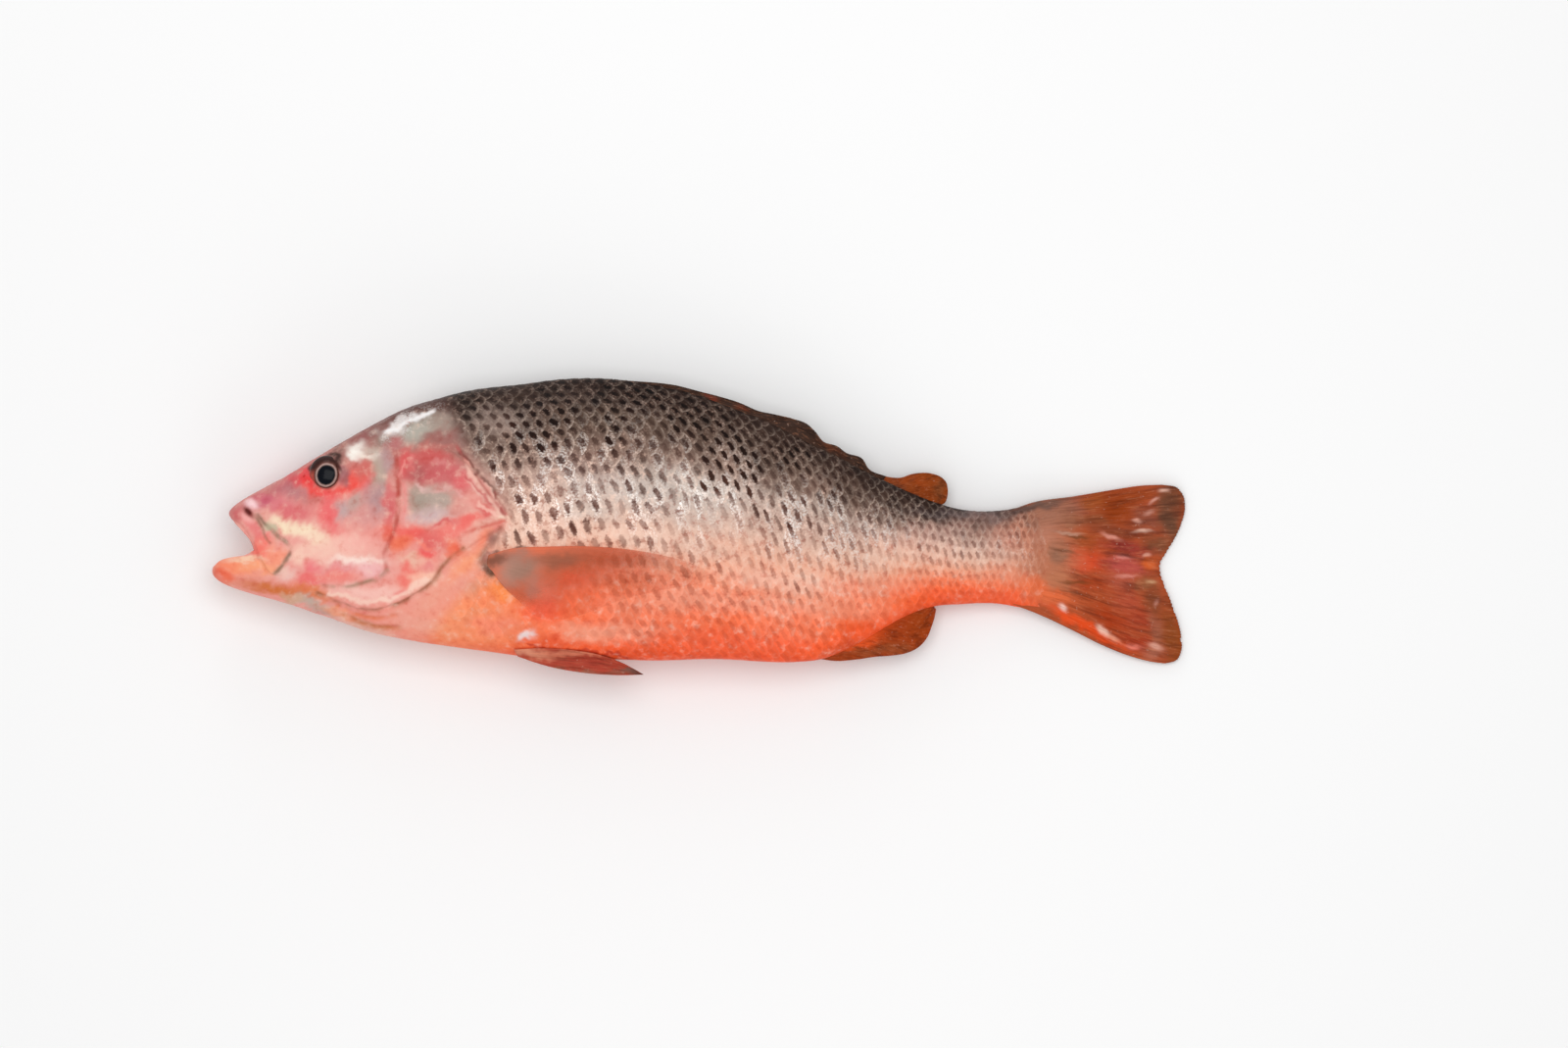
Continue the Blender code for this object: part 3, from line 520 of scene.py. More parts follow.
BANDS = [(0.0, 40, 24, 18), (0.08, 62, 44, 36), (0.16, 92, 72, 62), (0.26, 132, 106, 94), (0.37, 192, 160, 146),
         (0.52, 228, 182, 160), (0.64, 238, 164, 134), (0.76, 246, 128, 90), (0.88, 252, 106, 58),
         (1.0, 236, 82, 36)]
TRUNK_PATCHES = [
    # The first six patches, silver-grey on the upper flank, are partly the silvery band's colour and partly painted
    # sheen.
    ((212.8, 30.2, 32.2, 7.5), -8, (210, 196, 188), 0.65), ((255.5, 29.2, 35.2, 8.0), -14, (212, 200, 190), 0.65),
    ((188.6, 19.1, 20.1, 4.5), 0, (222, 204, 192), 0.6), ((308.3, 20.1, 25.1, 6.0), -18, (206, 188, 176), 0.5),
    ((240.4, 24.1, 40.2, 13.1), -10, (200, 186, 176), 0.6), ((192.6, 22.6, 18.1, 10.1), -4, (202, 186, 176), 0.5),
    ((212.8, 7.5, 30.2, 6.0), -4, (246, 206, 186), 0.6), ((242.9, 0.0, 30.2, 6.0), -8, (224, 190, 172), 0.5),
    ((165.0, 12.6, 21.1, 11.1), 0, (240, 198, 178), 0.8), ((154.9, 32.2, 11.1, 11.1), -35, (176, 138, 124), 0.65),
    ((187.6, 42.8, 22.1, 6.0), -12, (140, 112, 104), 0.5), ((293.2, 12.6, 27.7, 11.1), -18, (206, 172, 156), 0.6),
    ((293.2, -16.1, 30.2, 6.0), -6, (244, 190, 168), 0.7), ((363.7, 0.0, 25.1, 7.0), -8, (234, 178, 156), 0.6),
    ((414.0, 4.0, 17.1, 12.1), 0, (206, 138, 116), 0.75), ((393.8, 16.6, 32.2, 3.0), -3, (96, 84, 84), 0.75),
    ((333.5, -20.1, 30.2, 6.0), 0, (240, 146, 118), 0.5), ((122.2, -35.2, 42.3, 17.1), -10, (250, 150, 106), 0.95),
    ((114.7, -24.1, 15.1, 4.0), 32, (245, 166, 116), 0.7), ((104.6, -38.2, 16.1, 4.0), -10, (240, 176, 144), 0.6),
    ((133.3, -20.1, 7.5, 4.5), 0, (224, 158, 128), 0.6), ((149.9, -22.1, 8.0, 6.0), 0, (252, 144, 78), 0.85),
    ((144.9, -39.2, 15.1, 5.0), 0, (248, 136, 112), 0.6), ((170.5, -31.2, 10.1, 8.0), 0, (250, 96, 70), 0.8),
    ((172.5, -48.3, 13.1, 2.5), 0, (228, 82, 42), 0.8), ((192.6, -42.8, 20.1, 5.0), -4, (246, 150, 118), 0.7),
    ((212.8, -30.2, 20.1, 7.0), 0, (236, 140, 112), 0.5), ((237.9, -40.2, 20.1, 5.0), 0, (226, 118, 88), 0.5),
    ((273.1, -47.8, 45.3, 7.0), -1, (246, 98, 60), 0.8), ((333.5, -45.3, 30.2, 6.5), 22, (248, 92, 44), 0.9),
    # Painted highlight: the near-white patch at (161.5, -45.3) on the chest is a glint.
    ((393.8, -24.1, 30.2, 4.0), 0, (240, 98, 62), 0.8), ((161.5, -45.3, 4.5, 2.5), 18, (232, 226, 226), 0.9),
    ((323.4, -51.3, 15.1, 3.5), 12, (206, 78, 40), 0.5),
    ((386.3, 12.1, 25.1, 4.5), 4, (150, 116, 106), 0.5), ((408.9, -13.1, 20.1, 5.0), 0, (228, 138, 108), 0.6),
    ((371.2, 7.0, 22.1, 6.0), -2, (200, 158, 144), 0.6), ((323.4, -30.2, 25.1, 6.0), -4, (240, 150, 120), 0.6),
    ((293.2, -41.2, 25.1, 6.0), -4, (246, 132, 98), 0.55), ((192.6, 74.4, 35.2, 6.0), -6, (66, 52, 46), 0.5),
    ((212.8, 65.4, 31.2, 6.5), -5, (96, 76, 64), 0.6), ((144.9, 64.4, 15.1, 7.0), 0, (160, 138, 128), 0.6),
    ((217.8, -18.1, 17.1, 4.0), 0, (208, 106, 74), 0.6), ((245.5, -26.2, 25.1, 8.0), -4, (236, 156, 130), 0.65),
    ((205.2, -42.8, 25.1, 6.0), 0, (244, 160, 132), 0.6), ((288.2, -29.2, 25.1, 6.0), -6, (238, 166, 142), 0.5),
]
TAIL_COLOUR = (172, 76, 40)
ROOT_PATCHES = [
    ((429.1, -5.0, 15.1, 21.1), 0, (190, 118, 88), 0.9), ((426.0, 7.5, 10.1, 7.0), 0, (190, 126, 102), 0.8),
    ((428.1, 16.6, 17.1, 7.5), 8, (162, 108, 86), 0.95), ((430.1, -23.1, 15.1, 5.0), -24, (234, 110, 64), 0.85),
    ((433.6, -3.0, 4.5, 6.0), 0, (150, 106, 84), 0.8), ((434.1, -15.1, 8.0, 5.0), -10, (188, 118, 84), 0.7),
    ((427.0, 23.1, 15.1, 3.5), 14, (120, 90, 78), 0.9), ((412.0, 19.6, 17.1, 3.0), 8, (92, 70, 64), 0.9),
]
TRUNK_STROKES = [
    ([(162.5, -50.8), (182.6, -52.3), (212.8, -55.8)], 1.0, (190, 52, 30), 0.75),
    ([(139.3, -3.0), (140.8, -7.0), (143.9, -12.6)], 2.8, (98, 78, 58), 0.85),
    ([(142.3, -4.5), (149.9, -2.5), (166.5, 0.0)], 1.4, (112, 74, 62), 0.8),
]
HEAD_PATCHES = [
    ((56.8, 0.0, 95.6, 60.4), 0, (238, 160, 150), 1.0),
    # Snout and lips
    ((34.2, 30.2, 25.1, 4.5), 30, (198, 118, 118), 0.7), ((22.6, 24.1, 8.0, 3.0), 25, (204, 96, 110), 0.7),
    ((41.7, 34.2, 11.1, 4.0), 30, (220, 84, 92), 0.8), ((49.3, 39.2, 6.0, 4.0), 40, (232, 84, 88), 0.85),
    ((11.6, 18.6, 4.5, 5.5), 20, (204, 114, 114), 0.9), ((41.7, 28.7, 11.1, 4.0), -12, (188, 122, 126), 0.8),
    ((52.8, 25.1, 7.0, 4.0), 10, (204, 118, 112), 0.7), ((34.2, 22.6, 11.1, 4.5), -6, (224, 122, 130), 0.85),
    ((42.8, 18.1, 11.1, 4.5), 4, (222, 108, 112), 0.85), ((22.6, 10.1, 4.0, 8.0), 30, (236, 128, 126), 0.9),
    ((25.7, 0.0, 4.5, 7.5), 20, (248, 120, 105), 0.9), ((33.2, -4.0, 5.0, 7.0), -8, (250, 152, 122), 0.9),
    ((27.7, 16.1, 6.0, 3.5), -30, (242, 180, 165), 0.7), ((29.7, 9.6, 6.0, 2.3), -44, (196, 188, 158), 0.9),
    # Round the eye
    ((49.8, 34.2, 3.5, 6.5), 20, (246, 66, 66), 0.95), ((55.8, 28.2, 6.0, 2.5), -10, (246, 76, 70), 0.9),
    ((64.4, 29.7, 11.1, 3.0), 12, (240, 84, 78), 0.9), ((72.9, 33.7, 8.0, 4.5), 25, (246, 84, 74), 0.95),
    # Painted shade: the purple-grey patch just behind the eye, at (68.4, 38.2).
    ((78.0, 40.2, 6.5, 5.5), 10, (208, 106, 98), 0.9), ((68.4, 38.2, 2.5, 6.0), 0, (150, 96, 100), 0.8),
    ((80.0, 31.7, 4.5, 3.5), 20, (228, 120, 118), 0.8), ((60.4, 18.1, 5.5, 11.1), 4, (240, 104, 106), 0.92),
    ((63.4, 7.5, 6.0, 4.5), 0, (240, 120, 118), 0.7), ((70.4, 27.2, 6.0, 3.0), 0, (242, 150, 140), 0.6),
    ((65.9, 48.3, 4.5, 3.5), 20, (130, 96, 88), 0.8),
    # Cheek
    ((67.9, 20.1, 5.0, 5.5), 0, (194, 166, 164), 0.9), ((74.9, 24.1, 4.5, 6.0), 0, (186, 160, 152), 0.8),
    ((86.5, 39.2, 4.5, 11.1), 0, (182, 166, 150), 0.9), ((85.0, 24.1, 6.0, 9.1), 0, (176, 140, 142), 0.85),
    ((82.5, 48.3, 6.0, 4.5), 0, (200, 184, 170), 0.8), ((90.0, 44.3, 3.5, 8.0), 0, (186, 150, 150), 0.8),
    ((79.5, 15.1, 7.0, 6.0), 0, (214, 150, 146), 0.7), ((91.5, 20.1, 3.0, 13.1), 0, (214, 96, 98), 0.85),
    ((92.0, 6.0, 3.0, 6.0), 0, (228, 106, 80), 0.85), ((84.0, 7.0, 6.0, 5.0), 0, (238, 150, 140), 0.7),
    ((50.8, 7.0, 15.1, 4.0), -24, (252, 232, 200), 0.95), ((36.7, 11.1, 8.0, 3.0), -20, (250, 228, 196), 0.9),
    ((64.4, -1.0, 17.1, 9.1), -10, (249, 196, 180), 0.85), ((74.4, 2.0, 11.1, 5.0), 0, (250, 184, 172), 0.7),
    ((76.0, -6.0, 14.1, 2.5), 0, (255, 230, 218), 0.95), ((82.0, -10.6, 7.0, 4.0), 0, (245, 190, 190), 0.85),
    ((46.8, -3.0, 8.0, 5.0), 0, (250, 205, 185), 0.85), ((52.8, -8.0, 4.5, 4.5), 0, (240, 120, 126), 0.85),
    ((66.9, -10.1, 9.1, 3.0), 10, (232, 140, 148), 0.6), ((50.8, -16.1, 6.0, 5.0), 0, (238, 104, 104), 0.85),
    ((64.4, -14.6, 11.1, 4.0), 5, (242, 128, 118), 0.85), ((36.7, -12.6, 6.0, 4.0), 0, (240, 200, 190), 0.85),
    ((41.7, -19.1, 5.0, 2.5), 0, (240, 140, 120), 0.7),
    # Lower jaw
    ((11.6, -9.1, 13.1, 5.5), -8, (255, 142, 106), 0.95), ((24.1, -10.1, 11.1, 4.5), -5, (252, 166, 124), 0.9),
    ((17.6, -5.0, 10.1, 2.0), 0, (250, 210, 178), 0.8), ((6.0, -14.1, 6.0, 3.5), -25, (244, 110, 78), 0.9),
    ((34.2, -21.6, 20.1, 3.3), -10, (212, 112, 52), 0.95), ((52.8, -22.6, 11.1, 3.0), -14, (226, 120, 70), 0.85),
    ((51.8, -28.7, 12.1, 3.0), -16, (190, 172, 160), 0.95), ((59.4, -32.7, 6.0, 2.5), -16, (168, 140, 136), 0.8),
    ((41.7, -25.7, 7.0, 2.0), -14, (214, 170, 140), 0.7), ((77.0, -40.2, 17.1, 3.5), -16, (232, 190, 174), 0.7),
    ((64.4, -32.7, 10.1, 2.5), -16, (244, 160, 124), 0.8),
    # Gill cover; its first two patches, a pale band over its lower edge, are painted highlight
    ((79.5, -22.1, 18.1, 4.0), -4, (250, 196, 184), 0.9), ((94.6, -22.1, 12.1, 4.5), 14, (248, 190, 178), 0.9),
    ((104.6, -15.1, 10.1, 7.0), 30, (250, 182, 160), 0.9), ((112.2, -15.1, 4.5, 6.0), 0, (250, 196, 172), 0.8),
    ((101.1, -9.1, 4.5, 4.0), 0, (240, 104, 96), 0.85), ((98.1, -16.1, 3.5, 5.0), 20, (240, 110, 100), 0.85),
    ((96.1, -22.6, 3.0, 2.5), 0, (236, 120, 116), 0.8), ((104.6, -4.5, 7.0, 3.0), 0, (238, 186, 164), 0.85),
    ((110.7, -10.1, 4.5, 2.5), 10, (230, 125, 125), 0.75), ((99.6, 44.3, 5.5, 9.1), 0, (222, 92, 92), 0.95),
    ((112.2, 46.3, 12.1, 5.0), 0, (205, 88, 86), 0.9), ((110.7, 37.7, 11.1, 6.0), 0, (196, 84, 88), 0.9),
    ((122.2, 37.7, 8.0, 7.0), 0, (206, 98, 100), 0.9), ((106.1, 38.7, 4.0, 5.0), 0, (165, 90, 88), 0.6),
    ((129.8, 32.7, 6.0, 7.0), -35, (224, 96, 100), 0.85), ((114.7, 24.1, 13.6, 7.5), -6, (178, 160, 148), 0.95),
    ((106.1, 25.1, 5.0, 7.0), 0, (160, 150, 136), 0.7), ((112.2, 17.1, 12.1, 3.5), 0, (206, 180, 180), 0.8),
    ((127.3, 22.1, 5.0, 6.0), 0, (220, 140, 130), 0.8), ((134.3, 25.1, 4.0, 5.0), -20, (236, 160, 148), 0.8),
    ((104.6, 7.5, 13.1, 5.0), -5, (240, 92, 84), 0.92), ((114.7, 3.5, 11.1, 6.0), 0, (222, 104, 100), 0.85),
    ((110.2, -3.0, 5.0, 3.0), -20, (240, 84, 84), 0.85), ((97.1, 2.5, 5.0, 4.5), 0, (240, 112, 76), 0.85),
    ((131.3, 14.1, 10.1, 3.5), 20, (238, 90, 84), 0.8), ((140.8, 20.1, 7.0, 3.0), -40, (214, 76, 76), 0.85),
    ((124.7, 7.5, 9.1, 4.0), 20, (240, 120, 110), 0.8), ((125.2, -1.0, 4.5, 4.5), 0, (240, 104, 72), 0.85),
    ((131.3, -7.5, 13.1, 4.5), 38, (250, 158, 118), 0.85), ((141.3, 5.0, 8.0, 3.5), 40, (244, 134, 104), 0.85),
    ((148.9, 10.1, 4.0, 3.0), 0, (230, 120, 110), 0.7), ((148.9, 15.6, 4.5, 1.3), -8, (246, 220, 196), 0.8),
    ((136.3, 30.2, 6.0, 1.5), -48, (240, 190, 176), 0.8), ((108.1, 31.2, 4.5, 1.5), -30, (232, 190, 184), 0.6),
    ((118.2, 30.2, 6.0, 1.3), 20, (226, 170, 164), 0.6), ((127.3, 27.7, 3.5, 1.5), -40, (236, 176, 168), 0.6),
    ((116.2, 42.8, 4.5, 1.5), -20, (222, 140, 136), 0.6), ((104.1, 45.3, 2.0, 4.5), 0, (232, 130, 126), 0.6),
    ((119.7, 12.6, 6.0, 1.5), 16, (214, 80, 84), 0.7), ((108.1, 2.0, 5.0, 1.5), -10, (252, 130, 110), 0.6),
    # Nape and shoulder; the first and third patches, grey-white on the nape, are partly silvery skin and partly painted
    # highlight
    ((104.6, 60.4, 14.1, 6.5), 20, (180, 174, 162), 0.95), ((88.0, 57.3, 6.0, 4.5), 20, (150, 136, 124), 0.8),
    ((92.0, 61.4, 7.0, 3.5), 20, (225, 215, 212), 0.8), ((93.1, 54.3, 5.0, 4.0), 0, (190, 110, 110), 0.8),
    ((78.0, 56.3, 6.0, 3.5), 30, (150, 86, 84), 0.8), ((118.2, 64.4, 7.0, 5.0), 0, (168, 148, 136), 0.8),
    ((119.7, 57.3, 10.1, 4.5), 10, (164, 106, 100), 0.85), ((132.3, 56.8, 9.1, 5.0), -10, (146, 116, 108), 0.8),
    ((114.7, 51.8, 12.1, 2.0), 6, (196, 116, 108), 0.7), ((145.4, 27.7, 3.5, 5.5), 0, (140, 96, 84), 0.6),
    ((146.4, 3.5, 4.5, 4.5), 0, (146, 98, 90), 0.8), ((153.4, 24.1, 2.0, 6.0), 0, (160, 88, 84), 0.6),
]
# Painted highlight: white glints on the skin just behind the eye.
SIDE_GLINT_PATCHES = [
    ((74.4, 49.8, 5.0, 4.0), -5, (254, 248, 238), 0.97), ((80.5, 47.3, 4.0, 2.0), -10, (250, 236, 222), 0.8),
]
# Painted light and shade: the first stroke is dark painted shade of the socket over the eye, the other two are the
# white painted glint along the nape.
SIDE_SHADE_AND_GLINT_STROKES = [
    ([(52.3, 41.2), (53.8, 44.3), (57.3, 46.8), (61.4, 47.3), (64.9, 45.3)], 1.3, (60, 40, 36), 0.9),
    ([(90.0, 59.9), (96.1, 62.4), (102.1, 66.4), (107.1, 68.4), (112.2, 70.9)], 1.7, (250, 247, 246), 0.95),
    ([(92.0, 62.4), (98.1, 66.9), (104.1, 69.9)], 1.6, (240, 232, 230), 0.7),
]
HEAD_STROKES = [
    # Painted highlight: a pale stroke along the gill cover's rear edge.
    ([(134.3, 39.2), (139.3, 33.7), (145.4, 26.2)], 1.0, (250, 206, 190), 0.8),
    ([(131.3, 36.2), (136.8, 30.2), (142.3, 23.1)], 0.8, (196, 84, 84), 0.7),
    ([(136.3, 24.1), (141.8, 20.1), (147.9, 16.6)], 0.9, (248, 196, 180), 0.7),
    ([(99.1, 44.3), (97.1, 30.2), (97.6, 15.1)], 0.9, (244, 158, 150), 0.6),
    # Painted highlight: a pale line just inside the lower edge of the gill cover.
    ([(61.9, -23.1), (71.9, -25.7), (84.0, -26.7), (94.1, -24.6), (102.1, -21.1), (109.2, -16.1)], 1.4,
     (253, 214, 196), 0.7),
    # Painted highlight: the broad pale strip along the gill cover's rear edge.
    ([(129.3, 45.3), (136.3, 35.2), (142.3, 27.2), (149.4, 18.1)], 1.7, (240, 186, 170), 0.9),
    # Painted shade: the dark crease just behind the gill cover's rear edge, in two strokes.
    ([(128.3, 50.3), (135.3, 41.2), (141.3, 34.2), (146.4, 27.2)], 1.2, (112, 72, 62), 0.75),
    ([(146.4, 27.2), (148.9, 23.1), (150.4, 18.1)], 1.0, (150, 60, 56), 0.7),
]
# Width, colour and strength of the paint along each line: mostly dark painted shade in the grooves, and a paler line
# along cheek_ridge.
LINE_COLOURS_AND_CREASE_SHADE = {
    "jaw_edge": (1.1, (130, 108, 88), 0.85), "jaw_crease": (0.9, (146, 112, 90), 0.8),
    "cheek_edge": (1.3, (180, 66, 54), 0.8), "cheek_foot": (1.2, (150, 120, 92), 0.8),
    "cover_edge": (1.2, (186, 84, 82), 0.6), "cover_flap": (1.0, (206, 84, 70), 0.7),
    "cover_foot": (1.3, (166, 104, 76), 0.85), "throat_fold": (1.2, (224, 112, 64), 0.75),
    "lower_fold": (1.6, (196, 108, 58), 0.8), "shoulder": (1.4, (128, 86, 72), 0.6),
    "cheek_ridge": (1.0, (238, 146, 140), 0.6), "lip": (0.6, (190, 80, 74), 0.35),
}
NOSE_PATCHES = [
    ((27.2, 24.1, 4.5, 2.5), 28, (204, 96, 116), 0.8), ((14.1, 17.1, 3.0, 3.0), 30, (206, 98, 98), 0.8),
    ((18.1, 15.6, 4.5, 2.0), -40, (250, 178, 172), 0.85), ((19.9, 22.9, 4.5, 2.5), -36, (255, 214, 216), 0.97),
    ((19.1, 18.3, 3.7, 1.7), -44, (132, 52, 46), 0.95), ((18.4, 19.0, 2.2, 1.0), -44, (84, 26, 24), 0.9),
    ((23.1, 16.6, 2.0, 1.5), -30, (190, 130, 118), 0.6),
]
SOCKET_COLOUR, BROW_SHADE_COLOUR, MOUTH_LINING = (146, 66, 56), (60, 30, 24), (150, 62, 58)


def shaded(table, at):
    """The colour at each place: a table of (key, red, green, blue), joined by straight runs of linear light."""
    table = np.array(table, float)
    return np.stack([np.interp(at, table[:, 0], linear(table[:, c])) for c in (1, 2, 3)], axis=-1)


# %% Lay the bands, the patches and the strokes
back_line, belly_line = (curve(line, np.clip(X, FIRST_SECTION, LAST_SECTION)) for line in (BACK_LINE, BELLY_LINE))
over_belly = np.clip((back_line - Y) / (back_line - belly_line), 0, 1)
wandered = over_belly + 0.04 * soft_noise(X, arc_side, 22, 3.0) + 0.02 * soft_noise(X, arc_side, 5, 4.0)
tone = paint(shaded(BANDS, wandered), TRUNK_PATCHES, TRUNK_STROKES, X, Y, arc_side)
root_tone = paint(lay(tone, TAIL_COLOUR, ramp((X - 418) / 14)), ROOT_PATCHES, [], X, Y)
tone += (root_tone - tone) * ramp((X - 400) / 14)[..., None]
in_front = 1 - ramp((behind_front + 6) / 12)
face_tone = paint(tone[head_rows], HEAD_PATCHES, HEAD_STROKES, hx, hy, arc_side[head_rows])
# The painted glints and the painted shade over the eye are laid only where the skin faces up or down, on the flanks.
on_side = ramp((np.abs(outward[head_rows][..., 2]) - 0.3) / 0.3)
side_tone = paint(face_tone, SIDE_GLINT_PATCHES, SIDE_SHADE_AND_GLINT_STROKES, hx, hy)
face_tone += (side_tone - face_tone) * on_side[..., None]
tone[head_rows] += (face_tone - tone[head_rows]) * in_front[head_rows][..., None]
# Painted shade: dark lines laid in the grooves of the head's bones and folds; cheek_ridge lays a paler line along its
# ridge.
for name, (width, colour, strength) in LINE_COLOURS_AND_CREASE_SHADE.items():
    strength = strength * np.clip(0.72 + 0.6 * soft_noise(hx, hy, 5, 6.0, 2), 0.1, 1)
    tone[head_rows] = lay(tone[head_rows], colour, strength * bell(lines[name], width))
side_tone = paint(tone[head_rows], NOSE_PATCHES, [], hx, hy, wander=0.15)
tone[head_rows] += (side_tone - tone[head_rows]) * on_side[..., None]
tone[head_rows] = lay(tone[head_rows], SOCKET_COLOUR, 0.65 * ramp(RIM_RADIUS - from_pupil))
# Painted shade: a dark crescent over the upper side of the eye, where the socket's rim shades it.
brow_shade = on_side * ramp((9.0 - from_pupil) / 1.2) * ramp((hy + 0.3 * hx - 57.5) / 4)
tone[head_rows] = lay(tone[head_rows], BROW_SHADE_COLOUR, 0.95 * brow_shade)
tone[:OUTER] = linear(MOUTH_LINING)
print("mean tone:", tone[OUTER:].mean(axis=(0, 1)).round(3))

# %% [markdown]
# ## Marks of the scales
# Four numbers go with the tone: how dark the spot on each scale is, how pale its free edge is, how much the skin
# shines like silver, and how blotchy it is. Spots are strongest on the back, loose on the flank
# and nearly gone on the belly and towards the tail. The face, which has no scales, and the pale flank are
# blotchy, and the dark back is not.

# %% Spots, pale edges, silver and blotches
SPOT_STRENGTH = [(0.0, 0.8), (0.06, 0.95), (0.25, 1.0), (0.36, 0.9), (0.55, 0.8), (0.66, 0.58), (0.78, 0.42),
                 (1.0, 0.2)]
EDGE_STRENGTH = [(0.0, 0.10), (0.08, 0.16), (0.18, 0.24), (0.28, 0.30), (0.4, 0.26), (0.6, 0.2), (0.72, 0.14),
                 (0.85, 0.08), (1.0, 0.05)]
BLOTCH_STRENGTH = [(0.0, 0.2), (0.2, 0.3), (0.35, 0.8), (0.5, 1.0), (0.65, 0.95), (0.75, 0.8), (1.0, 0.7)]
FACE_BLOTCHES, LINING_BLOTCHES = 0.85, 0.2
spots = curve(SPOT_STRENGTH, over_belly) * breast * (0.8 + 0.35 * soft_noise(X, Y, 16, 5.0))
spots *= 1 - 0.4 * oval((265.6, 7.5, 30.2, 11.1), -8, X, Y)
spots *= 1 - 0.25 * ramp((X - 290) / 60) - 0.25 * ramp((X - 360) / 60)
edges = curve(EDGE_STRENGTH, over_belly) * breast * (0.9 + 0.5 * soft_noise(X, Y, 11, 8.0))
silver = scaled * bell(over_belly - 0.38, 0.17) * (0.85 + 0.4 * soft_noise(X, Y, 20, 15.0))
silver *= 1 - 0.7 * ramp((X - 320) / 60)
# At the nape the silver is strong, so its scales gleam paler there: a painted highlight on top of the real reflection.
silver += 0.9 * oval((99.6, 64.4, 17.1, 6.0), 27, X, Y)
blotchy = FACE_BLOTCHES + (curve(BLOTCH_STRENGTH, over_belly) - FACE_BLOTCHES) * breast
blotchy *= 1 - 0.2 * ramp((X - 390) / 30)
marks = np.stack([*np.clip([spots, edges, silver], 0, 1), blotchy], axis=-1)
marks[:OUTER] = (0, 0, 0, LINING_BLOTCHES)
print("spots, edges, silver, blotches:", marks[OUTER:].mean(axis=(0, 1)).round(2))

# %% [markdown]
# ## From grid to mesh
# A mesh wants points, corners and faces. All grids here are tubes: rows that close on themselves. A row's
# last column repeats its first, so that the maps over the skin don't run backwards in the last face. The ends
# are closed: by a fan to a point for the body, and by a strip between its two sides for a fin.

# %% Tubes
DISC_RADIUS = 0.045


def make_piece(name, points, faces, maps, colours, normals=None):
    """A mesh from points, lists of equal-sized faces, maps of (u, v) for each corner and colours of each point."""
    mesh = bpy.data.meshes.new(name)
    sizes = np.concatenate([np.full(len(f), f.shape[1]) for f in faces])
    corners = np.concatenate([f.ravel() for f in faces])
    mesh.vertices.add(len(points))
    mesh.vertices.foreach_set("co", (points * MM).astype(np.float32).ravel())
    mesh.loops.add(len(corners))
    mesh.loops.foreach_set("vertex_index", corners.astype(np.int32))
    mesh.polygons.add(len(sizes))
    mesh.polygons.foreach_set("loop_start", np.concatenate([[0], np.cumsum(sizes)[:-1]]).astype(np.int32))
    mesh.update(calc_edges=True)
    for map_name, values in maps.items():
        mesh.uv_layers.new(name=map_name).uv.foreach_set("vector", values.astype(np.float32).ravel())
    for colour_name, values in colours.items():
        layer = mesh.color_attributes.new(colour_name, "FLOAT_COLOR", "POINT")
        filled = np.ones((len(points), 4), np.float32)
        filled[:, :values.shape[-1]] = values
        layer.data.foreach_set("color", filled.ravel())
    mesh.shade_smooth()
    if normals is not None:
        mesh.normals_split_custom_set_from_vertices(normals.astype(np.float32))
    mesh.validate()
    piece = bpy.data.objects.new(name, mesh)
    bpy.context.scene.collection.objects.link(piece)
    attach(piece, "root")
    print(f"{name}: {len(points)} points, {sum(len(f) * (f.shape[1] - 2) for f in faces)} triangles")
    return piece


def in_frame(points):
    """Points of the fish's own places moved to the frame."""
    return points + np.array([shift[0], shift[1], 0.0])


def tube_corners(rows, columns):
    """Row and unwrapped column of each corner of the quads of a tube, turned so that they face outwards."""
    r, c = np.meshgrid(np.arange(rows - 1), np.arange(columns), indexing="ij")
    corner_rows = np.stack([r, r, r + 1, r + 1], axis=-1).reshape(-1, 4)
    corner_columns = np.stack([c, c + 1, c + 1, c], axis=-1).reshape(-1, 4)
    return corner_rows, corner_columns


def closed_tube(rows, columns):
    """Faces of a tube with a fan to one more point at each end, and the row and column of the quads' corners."""
    corner_rows, corner_columns = tube_corners(rows, columns)
    c, last = np.arange(columns), (rows - 1) * columns
    fans = [np.stack([np.full(columns, rows * columns), (c + 1) % columns, c], axis=-1),
            np.stack([np.full(columns, rows * columns + 1), last + c, last + (c + 1) % columns], axis=-1)]
    return [corner_rows * columns + corner_columns % columns, *fans], corner_rows, corner_columns


def with_ends(values):
    """A list of the values at a tube's points, with the first and last row's first value for its two ends."""
    return np.concatenate([values[:, :-1].reshape(-1, values.shape[-1]), values[[0, -1], 0]])


